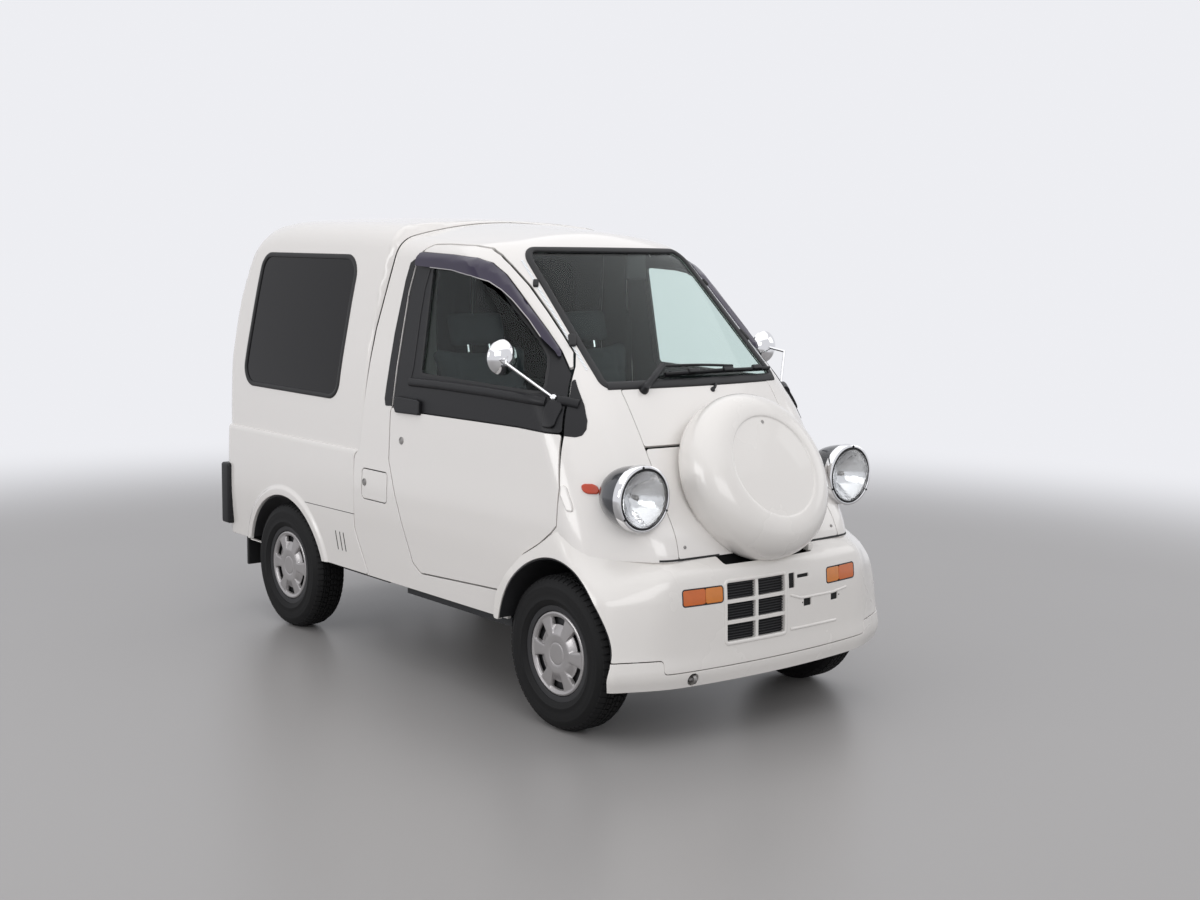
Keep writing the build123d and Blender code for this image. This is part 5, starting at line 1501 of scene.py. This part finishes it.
# Doors: waist moulding, handle, lock, mirror bracket and glass channel
MOULDING = [(918, 1106), (720, 1108), (430, 1106), (166, 1100), (124, 1096)]
bead_pair("waist_moulding", cab, side_line(cab, MOULDING, 0.02), half_round(0.033, 0.0115, 0.004, 10), BLACK,
          DOOR_BODIES)
HANDLE = [(1000, 1000), (997, 1040), (985, 1047), (850, 1044), (832, 1038), (830, 988), (990, 985)]
cab_sides("door_handle", [side_loop(cab, HANDLE, 0.009)], BLACK, DOOR_BODIES, "dark_plastic", thick=0.018,
          inset=-0.014, edge=0.006, grid=0.012)
BRACKET = [(64, 1012), (70, 1075), (84, 1096), (112, 1100), (118, 1085), (104, 1012)]
cab_sides("mirror_bracket", [side_loop(cab, BRACKET, 0.012)], BLACK, DOOR_BODIES, "dark_plastic", thick=0.014,
          inset=-0.010, edge=0.005, grid=0.01)
KEY = [(0, -3), (14.5, -3), (14.5, 1.4), (13.2, 2.8), (10.6, 2.8), (9.8, 1.2), (5.6, 2.2), (0, 2.2)]
place, normal = on_side(cab, 953, 883)
pair("door_lock", turned_to(shape_about(KEY), place, normal), STEEL, DOOR_BODIES, "steel")
place, normal = on_side(cab, 1201, 697, -1)
piece("fuel_lid_lock", turned_to(shape_about(KEY), place, normal), STEEL, "fuel_lid", "steel")
groove = side_line(cab, [(884, 1524), (903, 1453), (910, 1351), (909, 1159), (918, 1118)], 0.05)
bead_pair("frame_groove", cab, groove, [(0.0025, -0.003), (0.0025, 0.0004), (-0.0025, 0.0004),
                                        (-0.0025, -0.003)], RUBBER, DOOR_BODIES)
channel = side_loop(cab, WINDOW, 0.022, -0.002)
bead_pair("glass_channel", cab, channel, [(0.006, -0.012), (0.006, -0.0005), (-0.004, -0.0005),
                                          (-0.004, -0.012)], RUBBER, DOOR_BODIES, closed=True)
knob = side_line(cab, [(96, 1102), (70, 1098), (38, 1090)], 0.02)
bead_pair("corner_knob", cab, knob, half_round(0.036, 0.014, 0.004, 10), BLACK, FIXED)

# Marks on the side: vents, lower join and hinge covers
# Each vent slot is a thin near-black strip laid on the panel: painted shade for the slot's depth
for number, (y_top, y_low) in enumerate(((1430, 1416), (1398, 1384), (1370, 1356))):
    slot_line = side_line(load_bed, [(y_top, 472), (y_low, 397)])
    bead_pair(f"side_vent_{number}", load_bed, slot_line, half_round(0.0065, 0.0005, 0.004), PAINTED_SHADE, FIXED)
lower_join = side_line(load_bed, [(1279, 560), (1480, 558), (1672, 556)])
bead_pair("side_join", load_bed, lower_join, half_round(0.0028, 0.0003, 0.003), RUBBER, FIXED)
HINGE_COVER = [(-8, 838), (-30, 826), (-64, 768), (-70, 750), (-46, 752), (-12, 800)]
cab_sides("hinge_cover", [side_loop(cab, HINGE_COVER, 0.010)], WHITE, FIXED, "white_paint", thick=0.010,
          inset=-0.007, edge=0.005, grid=0.01)

# Windscreen: toothed moulding up each side, fittings on the pillars
TOOTH = block_mesh((-2.2, -4.5, -1.5), (2.2, 4.5, 2.2), 1.0, 1)
TEETH_LINE, TEETH_PITCH = mm([(-424, 1200), (-400, 1560)]), 0.0062
right_teeth = seen_from_end(cab, divided(TEETH_LINE, 0.01, closed=False), -1, SCREEN_CORE_Y)
for side, run in (("right", right_teeth), ("left", mirrored(right_teeth))):
    item = plain_object(TOOTH[0], (), TOOTH[1])
    start = plain_object(run, [(i, i + 1) for i in range(len(run) - 1)])
    sizes = {"Item": item, "Pitch": TEETH_PITCH, "Finish": MIRROR_GLASS}
    teeth = ruled(ALONG_LINE, start, sizes, slope_of(cab, run))
    bpy.data.objects.remove(item)
    piece(f"screen_teeth_{side}", teeth, MIRROR_GLASS, slot="chrome")
for number, (x, z, width, height) in enumerate(((-405.9, 1481, 20, 32), (-410.7, 1292, 26, 52))):
    place, normal = on_front(cab, x, z, SCREEN_CORE_Y)
    fitting = block_mesh((-width / 2, -height / 2, -4), (width / 2, height / 2, 11), 6)
    pair(f"pillar_fitting_{number}", mirror_mesh(turned_to(fitting, place, normal)), RUBBER, FIXED)

# Wiper, washer nozzle and inner mirror
pivot, pivot_n = on_front(cab, -262, 1131)
piece("wiper_pivot", turned_to(shape_about([(0, -8), (17, -8), (17, 6), (14, 16), (10, 26), (0, 28)]), pivot,
                               pivot_n), BLACK)
blade_mid, blade_n = on_front(cab, 176, 1180, SCREEN_CORE_Y)
arm_root, _ = on_front(cab, -143, 1190, SCREEN_CORE_Y)
head_end, _ = on_front(cab, -143, 1194, SCREEN_CORE_Y)
head_path = np.array([pivot + pivot_n * 0.016, (pivot + head_end) / 2 + pivot_n * 0.024,
                      head_end + blade_n * 0.020])
piece("wiper_head", tube_mesh(bent(head_path / MM, 0.02), 0.0115), BLACK)
arm_path = np.array([arm_root + blade_n * 0.024, (arm_root + blade_mid) / 2 + blade_n * 0.030,
                     blade_mid + blade_n * 0.024])
piece("wiper_arm", tube_mesh(bent(arm_path / MM, 0.08), 0.0048), BLACK)
blade_line = front_line(cab, [(-150, 1171), (100, 1174), (385, 1170)], 0.2, SCREEN_CORE_Y)
blade_line = blade_line + slope_of(cab, blade_line) * 0.010
blade_profile = [(0.0055, 0.0), (0.0055, 0.007), (0.0025, 0.011), (-0.0025, 0.011), (-0.0055, 0.007),
                 (-0.0055, 0.0), (-0.0012, -0.009), (0.0012, -0.009)]
piece("wiper_blade", bead_mesh(cab, blade_line, blade_profile), BLACK)
for number, x in enumerate((-20, 150, 310)):
    spot, spot_n = on_front(cab, x, 1173, SCREEN_CORE_Y)
    clip = block_mesh((-26, -9, -3), (26, 9, 7), 3, 2)
    piece(f"wiper_clip_{number}", turned_to(clip, spot + spot_n * 0.019, spot_n), BLACK)
nozzle, nozzle_n = on_front(cab, 39.9, 1121)
piece("washer_nozzle", turned_to(shape_about([(0, -5), (9, -5), (9, 3), (6, 6), (0, 8)]), nozzle, nozzle_n),
      BLACK)
nozzle_path = np.array([nozzle, nozzle + (0.008, -0.003, 0.009), nozzle + (0.022, 0.008, 0.018)])
piece("washer_nozzle_arm", tube_mesh(bent(nozzle_path / MM, 0.01), 0.0055), BLACK)
piece("inner_mirror", moved(block_mesh((-48, -11, -52), (48, 11, 52), 9), (0.152, 0.515, 1.541)), BLACK)
piece("inner_mirror_arm", tube_mesh(bent([(152, 520, 1575), (148, 547, 1605), (140, 587, 1641)], 0.02),
                                    0.007), BLACK)

# Near-black sheets behind the bumper's openings, painted shade for the dark inside them, and the slots in its
# face
grille_shade_loop = bumper_loop(oblong(-246, 320, 322, 535), 0.004)
bumper_sheet("grille_backing", [grille_shade_loop], PAINTED_SHADE, "dark_plastic", thick=0.003, inset=0.0145)
pocket_shade_loop = bumper_loop(oblong(40, 322, 398, 534), 0.004)
bumper_sheet("pocket_backing", [pocket_shade_loop], PAINTED_SHADE, "dark_plastic", thick=0.003, inset=0.005)
grille_rim = bumper_loop(oblong(GRILLE_X[0] - 6, GRILLE_X[1] + 6, GRILLE_Z[0] - 7, GRILLE_Z[1] + 6), 0.012)
bead("grille_frame", bumper, grille_rim, half_round(0.013, 0.0035, 0.003, 8), WHITE_PLASTIC,
     slot="white_plastic", closed=True)
FIN = [(0.0012, -0.015), (0.0012, -0.009), (-0.0012, -0.009), (-0.0012, -0.015)]
fin_lines = [front_line(bumper, [(-236, z), (34, z)], 0.0, BUMPER_CORE_Y) for z in range(341, 525, 9)]
piece("radiator_fins", together(*[bead_mesh(bumper, line, FIN) for line in fin_lines]), CHASSIS,
      slot="chassis_black")
join = front_line(cab, [(210, 610), (446, 610)])
bead_pair("nose_join", cab, join, half_round(0.007, 0.001, 0.004), RUBBER, FIXED)
ledge = front_line(bumper, [(58, 452), (110, 436), (279, 433), (360, 440)], 0.02, BUMPER_CORE_Y)
bead("bumper_ledge", bumper, ledge, half_round(0.009, 0.0028, 0.002), WHITE_PLASTIC, slot="white_plastic")
low_ledge = front_line(bumper, [(58, 335), (300, 332)], 0.0, BUMPER_CORE_Y)
bead("bumper_low_ledge", bumper, low_ledge, half_round(0.010, 0.003, 0.002), WHITE_PLASTIC,
     slot="white_plastic")
nose_slot = end_loop(cab, oblong(-235, 225, 560, 618), 0.004)
skin("nose_slot_shadow", cab, [nose_slot], NOSE_CORE, NOSE_FACING, PAINTED_SHADE, "body", "dark_plastic", thick=0.003,
     inset=0.028)
piece("slot_bracket", moved(block_mesh((-11, -14, -12), (11, 14, 12), 4), (0.196, -0.372, 0.596)),
      WHITE_PLASTIC, slot="white_plastic")
spots, facing = zip(*[on_front(cab, x, 647) for x in (-348, 352)])
screws_at("nose_screws", spots, facing, size=1.6)
spots, facing = zip(*[on_front(bumper, x, 419, BUMPER_CORE_Y) for x in (118, 317)])
screws_at("plate_screws", spots, facing, BLACK, slot="dark_plastic", size=0.7)

# Tail lamps in their black housings
housing = block_mesh((540, 2330, 372), (642, 2401, 643), 12)
TAIL_LENSES = [
    ("red", RED, "red_lens", 503, 633),
    ("amber", AMBER, "amber", 438, 499),
    ("clear", MIRROR_GLASS, "lens", 384, 434),
]
pair("tail_lamp_housing", housing, BLACK, FIXED, "dark_plastic", ["tail_lamps"])
for label, finish, slot, z_low, z_high in TAIL_LENSES:
    lamp = block_mesh((550, 2375, z_low), (634, 2402.9, z_high), 7)
    pair(f"tail_lamp_{label}", lamp, finish, FIXED, slot)
pair("mud_flap", moved(block_mesh((-45, -8, -70), (45, 8, 70), 5), (0.555, 2.236, 0.270)), RUBBER, FIXED)


# Dark liners in the wheel arches
def arch_liner(form, middle, radius, start, end, inner_x=0.46, wall=0.003):
    """A bent sheet just inside a wheel arch, from inner_x out to the panel."""
    rim = seen_from_side(form, arc(middle, radius, start, end, 0.02))
    verts = []
    for p in rim:
        spoke = unit(p[1:] - np.array(middle))
        for x, r in oblong(inner_x, p[0] - 0.003, radius, radius - wall):
            verts.append((x, *(np.array(middle) + spoke * r)))
    return welded(np.array(verts), swept_faces(len(rim), 4))


pair("front_arch_liner", arch_liner(bumper, FRONT_ARCH[:2], 0.2975, 9, 176), CHASSIS, FIXED, "chassis_black")
pair("rear_arch_liner", arch_liner(load_bed, REAR_ARCH[:2], 0.3165, 18, 162), CHASSIS, FIXED, "chassis_black")

# Linings inside the cab, the load box and the doors
skin("cab_lining", cab, [cab_edge, door_hole, mirrored(door_hole)[::-1], screen_edge], DOOR_CORE, CAB_FACING,
     TRIM, "body", "trim_grey", **LINING_SHEET)
skin("box_lining", load_box, [box_edge, side_hole, mirrored(side_hole)[::-1]], BOX_CORE, UP, LINING, "body",
     "trim_grey", **LINING_SHEET)
cab_sides("door_lining", [side_loop(cab, door_outline, 0.012, -0.012), side_loop(cab, WINDOW, 0.022, 0.010)],
          TRIM, DOOR_BODIES, "trim_grey", thick=0.005, inset=0.0145, edge=0.0015, grid=0.03)


# Seats: padded cushions, backs and head restraints, blown up a little in a cloth simulation
PRESSURE, CLOTH_STEPS, PAD_FILL = 4.0, 14, 0.6
SEAT_X, BELT_X, STRAP_HALF = 0.262, 0.545, 0.023
CUSHION_MIDDLE, SEAT_BACK_MIDDLE, HEAD_REST_MIDDLE = mm([(0, 670, 641), (0, 885, 970), (0, 968, 1292)])


def pillow(low, high, radius, sink):
    """A rounded block in millimetres, crowned on top, with its sides drawn in between its corners."""
    low, high = np.array(low, float), np.array(high, float)
    verts, faces = block_mesh(low, high, radius, 4)
    cuts = bpy.data.meshes.new("pad")
    cuts.from_pydata([tuple(v) for v in verts], [], faces)
    work = bmesh.new()
    work.from_mesh(cuts)
    bmesh.ops.subdivide_edges(work, edges=[e for e in work.edges if e.calc_length() > 0.05], cuts=7,
                              use_grid_fill=True)
    bmesh.ops.recalc_face_normals(work, faces=work.faces)
    work.to_mesh(cuts)
    work.free()
    verts, faces = mesh_data(cuts)
    middle, half = (low + high) / 2 * MM, (high - low) / 2 * MM
    share = (verts - middle) / half
    bow = np.clip(1 - share[:, :2] ** 2, 0, 1)
    verts[:, 0] -= sink * np.sign(share[:, 0]) * (np.abs(share[:, 0]) > 0.9) * bow[:, 1]
    verts[:, 1] -= sink * np.sign(share[:, 1]) * (np.abs(share[:, 1]) > 0.9) * bow[:, 0]
    verts[:, 2] += 0.012 * (share[:, 2] > 0) * bow[:, 0] * bow[:, 1]
    return verts, faces


def blown_up(mesh, voxel=0.009, cap=0.022):
    """The mesh after its cloth has been blown up, with no point moved further than the cap."""
    start = plain_object(mesh[0], (), mesh[1])
    remesh = start.modifiers.new("even", "REMESH")
    remesh.mode, remesh.voxel_size = "VOXEL", voxel
    graph = bpy.context.evaluated_depsgraph_get()
    even = bpy.data.meshes.new_from_object(start.evaluated_get(graph))
    bpy.data.objects.remove(start)
    before, faces = mesh_data(even)
    pad = plain_object(before, (), faces)
    cloth = pad.modifiers.new("cloth", "CLOTH")
    cloth.settings.use_pressure = True
    cloth.settings.uniform_pressure_force = PRESSURE
    cloth.settings.effector_weights.gravity = 0.0
    cloth.point_cache.frame_start, cloth.point_cache.frame_end = 1, CLOTH_STEPS
    for step in range(1, CLOTH_STEPS + 1):
        bpy.context.scene.frame_set(step)
    graph = bpy.context.evaluated_depsgraph_get()
    after, _ = mesh_data(bpy.data.meshes.new_from_object(pad.evaluated_get(graph)))
    bpy.data.objects.remove(pad)
    bpy.context.scene.frame_set(1)
    shift = after - before
    length = np.linalg.norm(shift, axis=1, keepdims=True)
    return before + shift * np.minimum(1.0, cap / np.maximum(length, 1e-9)), faces


def channelled(mesh, lines, depth=0.007, width=0.010):
    """A pad with sewn channels across it, given as (axis, place) pairs in its own frame."""
    verts = np.array(mesh[0])
    top = verts[:, 2] > (verts[:, 2].min() + verts[:, 2].max()) / 2
    for axis, place in lines:
        verts[:, 2] -= depth * np.exp(-((verts[:, axis] - place) / width) ** 2) * top
    return verts, mesh[1]


def fitted(mesh, low, high):
    """A pad squeezed back into its box, in millimetres."""
    verts = np.array(mesh[0])
    low, high = mm(low), mm(high)
    old_low, old_high = verts.min(0), verts.max(0)
    return (verts - old_low) / (old_high - old_low) * (high - low) + low, mesh[1]


CUSHION_LOW, CUSHION_HIGH = (-208, -208, 2), (208, 208, 108)
BACK_LOW, BACK_HIGH = (-206, -256, -44), (206, 256, 44)
REST_LOW, REST_HIGH = (-118, -62, -36), (118, 62, 36)
cushion = blown_up(pillow(np.add(CUSHION_LOW, 12), np.subtract(CUSHION_HIGH, 12), 34, 0.008))
cushion = channelled(fitted(cushion, CUSHION_LOW, CUSHION_HIGH),
                     [(0, -0.13), (0, 0.13), (1, 0.06), (1, -0.05)])
seat_back = blown_up(pillow(np.add(BACK_LOW, 10), np.subtract(BACK_HIGH, 10), 30, 0.008))
seat_back = channelled(fitted(seat_back, BACK_LOW, BACK_HIGH),
                       [(0, -0.13), (0, 0.13), (1, -0.10), (1, 0.02), (1, 0.14)], 0.006)
head_rest = fitted(blown_up(pillow(np.add(REST_LOW, 8), np.subtract(REST_HIGH, 8), 24, 0.004), 0.007),
                   REST_LOW, REST_HIGH)
BACK_LEAN = math.radians(14)
back_up = np.array((0.0, math.sin(BACK_LEAN), math.cos(BACK_LEAN)))
back_ahead = np.array((0.0, -math.cos(BACK_LEAN), math.sin(BACK_LEAN)))
leaning = np.stack([(-1.0, 0.0, 0.0), back_up, back_ahead])
for side, way in (("left", 1), ("right", -1)):
    x = way * SEAT_X
    pads = [(f"seat_cushion_{side}", moved(cushion, CUSHION_MIDDLE + (x, 0, 0)))]
    for label, mesh, place in (("seat_back", seat_back, SEAT_BACK_MIDDLE),
                               ("head_rest", head_rest, HEAD_REST_MIDDLE)):
        pads.append((f"{label}_{side}", (np.asarray(mesh[0]) @ leaning + place + (x, 0, 0), mesh[1])))
    for label, shape in pads:
        pad = piece(label, welded(*shape, 1e-6), CLOTH, slot="seat_fabric", replaces=["seats"], angle=None)
    stays = [bent([(1000 * x + dx, 945, 1206), (1000 * x + dx, 958, 1262)], 0.01) for dx in (-50, 50)]
    piece(f"head_rest_stays_{side}", together(*[tube_mesh(stay, 0.005, 12) for stay in stays]), CHROME,
          slot="chrome")
    hem = [(1000 * x - 206, 470, 690), (1000 * x + 206, 470, 690)]
    piece(f"seat_piping_{side}", tube_mesh(bent(hem, 0.01), 0.003, 8), RUBBER)
    belt_x = way * BELT_X
    belt = bent([(1000 * belt_x, 1010, 1420), (1000 * belt_x, 1000, 900), (1000 * belt_x * 0.95, 930, 640)],
                0.06, 0.03)
    strap = [(0.0, -STRAP_HALF), (0.0015, -STRAP_HALF), (0.0015, STRAP_HALF), (0.0, STRAP_HALF)]
    ring = [p + np.array((-way * s, w, 0.0)) for p in belt for s, w in strap]
    piece(f"belt_{side}", welded(np.array(ring), swept_faces(len(belt), len(strap))), WEBBING)

# Dashboard: hood over the dials, vents, glove box join, radio and column stalks
piece("dial_hood", moved(block_mesh((-150, -70, -26), (150, 60, 30), 22, 4), (-0.262, 0.268, 1.092)), TRIM,
      slot="trim_grey")
for number, x in enumerate((-455, -80, 80, 455)):
    bar = block_mesh((-44, -4, -2.2), (44, 4, 2.2), 1.5, 1)
    bars = [moved(bar, (x * MM, 0.340, z)) for z in (1.030, 1.040, 1.050)]
    piece(f"dash_vent_{number}", together(*bars), BLACK)
piece("dash_radio", moved(block_mesh((-90, -10, -26), (90, 6, 26), 4), (0.0, 0.346, 0.975)), BLACK)
piece("glove_box", moved(block_mesh((-130, -10, -60), (130, 6, 60), 10), (0.330, 0.348, 0.930)), TRIM,
      slot="trim_grey")
stalk = [(-262, 400, 1005), (-200, 395, 1030), (-120, 400, 1040)]
piece("signal_stalk", tube_mesh(bent(stalk, 0.02), 0.006, 12), BLACK)
lever = [(0, 470, 600), (0, 440, 700), (0, 420, 760)]
lever_knob = moved(block_mesh((-18, -18, -18), (18, 18, 18), 15), (0, 0.418, 0.775))
piece("gear_lever", together(tube_mesh(bent(lever, 0.04), 0.007, 12), lever_knob), BLACK)


# Floor, light and camera
FLOOR_COLOUR, BACKDROP_COLOUR, SKY_COLOUR = (0.34, 0.331, 0.327), (0.85, 0.855, 0.89), (0.97, 0.97, 1.0)
FADE_FROM, FADE_TO, SKY_STRENGTH = 3.2, 7.5, 0.52


def seen_rays(nodes, links):
    """1 for rays that the camera, metal and glass see, and 0 for rays that carry light."""
    path, two, three = added(nodes, "ShaderNodeLightPath", "ShaderNodeMath", "ShaderNodeMath")
    two.operation = three.operation = "MAXIMUM"
    wired(links, (path, "Is Camera Ray", two, 0), (path, "Is Glossy Ray", two, 1), (two, 0, three, 0),
          (path, "Is Transmission Ray", three, 1))
    return three.outputs[0]


def studio_floor():
    """A pale floor that goes over into the backdrop's colour with its distance from the middle."""
    material = finish_of("pale_floor", FLOOR_COLOUR, 0.34, tone=0.01, tone_scale=0.6)
    nodes, links = material.node_tree.nodes, material.node_tree.links
    shader, out = nodes["Principled BSDF"], nodes["Material Output"]
    place, length, fade = added(nodes, "ShaderNodeTexCoord", "ShaderNodeVectorMath", "ShaderNodeMapRange")
    glow, both, shown = added(nodes, "ShaderNodeEmission", "ShaderNodeMixShader", "ShaderNodeMath")
    length.operation, fade.interpolation_type, shown.operation = "LENGTH", "SMOOTHERSTEP", "MULTIPLY"
    set_to(fade, From_Min=FADE_FROM, From_Max=FADE_TO)
    glow.inputs["Color"].default_value = (*BACKDROP_COLOUR, 1)
    wired(links, (place, "Object", length, 0), (length, "Value", fade, "Value"), (fade, "Result", shown, 0))
    links.new(seen_rays(nodes, links), shown.inputs[1])
    wired(links, (shown, 0, both, "Fac"), (shader, "BSDF", both, 1), (glow, "Emission", both, 2),
          (both, "Shader", out, "Surface"))
    return material


def stage_floor(size=60.0):
    mesh = bpy.data.meshes.new("floor")
    half = size / 2
    mesh.from_pydata([(-half, -half, 0), (half, -half, 0), (half, half, 0), (-half, half, 0)], [],
                     [(0, 1, 2, 3)])
    mesh.materials.append(studio_floor())
    placed("floor", mesh)


stage_floor()


def soft_light(name, place, aim, size, power):
    lamp = bpy.data.lights.new(name, "AREA")
    lamp.shape = "RECTANGLE"
    lamp.size, lamp.size_y = size
    lamp.energy = power
    holder = placed(name, lamp)
    holder.location = place
    holder.rotation_euler = (Vector(aim) - Vector(place)).to_track_quat("-Z", "Y").to_euler()


soft_light("ceiling_light", (0.0, -0.5, 4.6), (0.0, 0.0, 0.0), (9.0, 9.0), 150.0)
soft_light("front_light", (-2.6, -6.5, 3.2), (0.0, -0.6, 0.7), (4.5, 2.2), 82.0)
soft_light("right_light", (-6.5, 0.4, 2.6), (0.0, 0.2, 0.8), (4.5, 2.2), 106.0)
soft_light("left_light", (5.5, -3.0, 3.0), (0.0, 0.0, 0.8), (3.0, 2.2), 24.0)

world = bpy.data.worlds.new("studio")
world.use_nodes = True
bpy.context.scene.world = world
nodes, links = world.node_tree.nodes, world.node_tree.links
nodes.clear()
out, shown, lit = added(nodes, "ShaderNodeOutputWorld", "ShaderNodeBackground", "ShaderNodeBackground")
choose = nodes.new("ShaderNodeMixShader")
set_to(shown, Color=(*BACKDROP_COLOUR, 1), Strength=1.0)
set_to(lit, Color=(*SKY_COLOUR, 1), Strength=SKY_STRENGTH)
links.new(seen_rays(nodes, links), choose.inputs["Fac"])
wired(links, (lit, "Background", choose, 1), (shown, "Background", choose, 2),
      (choose, "Shader", out, "Surface"))

CAMERA_PLACE = Vector((-3.783, -5.0055, 1.607))
CAMERA_TURN, CAMERA_RISE, CAMERA_ROLL = (math.radians(a) for a in (-39.59, 7.27, 0.76))
back = Vector((math.sin(CAMERA_TURN) * math.cos(CAMERA_RISE), -math.cos(CAMERA_TURN) * math.cos(CAMERA_RISE),
               math.sin(CAMERA_RISE)))
right = Vector((0, 0, 1)).cross(back).normalized()
up = back.cross(right)
rolled_right = right * math.cos(CAMERA_ROLL) + up * math.sin(CAMERA_ROLL)
rolled_up = up * math.cos(CAMERA_ROLL) - right * math.sin(CAMERA_ROLL)
camera_data = bpy.data.cameras.new("camera")
camera_data.sensor_width = 36.0
camera_data.lens = 47.37
camera = placed("camera", camera_data)
turn = Matrix((rolled_right, rolled_up, back)).transposed()
camera.matrix_world = Matrix.Translation(CAMERA_PLACE) @ turn.to_4x4()
bpy.context.scene.camera = camera
bpy.context.scene.view_settings.view_transform = "Standard"
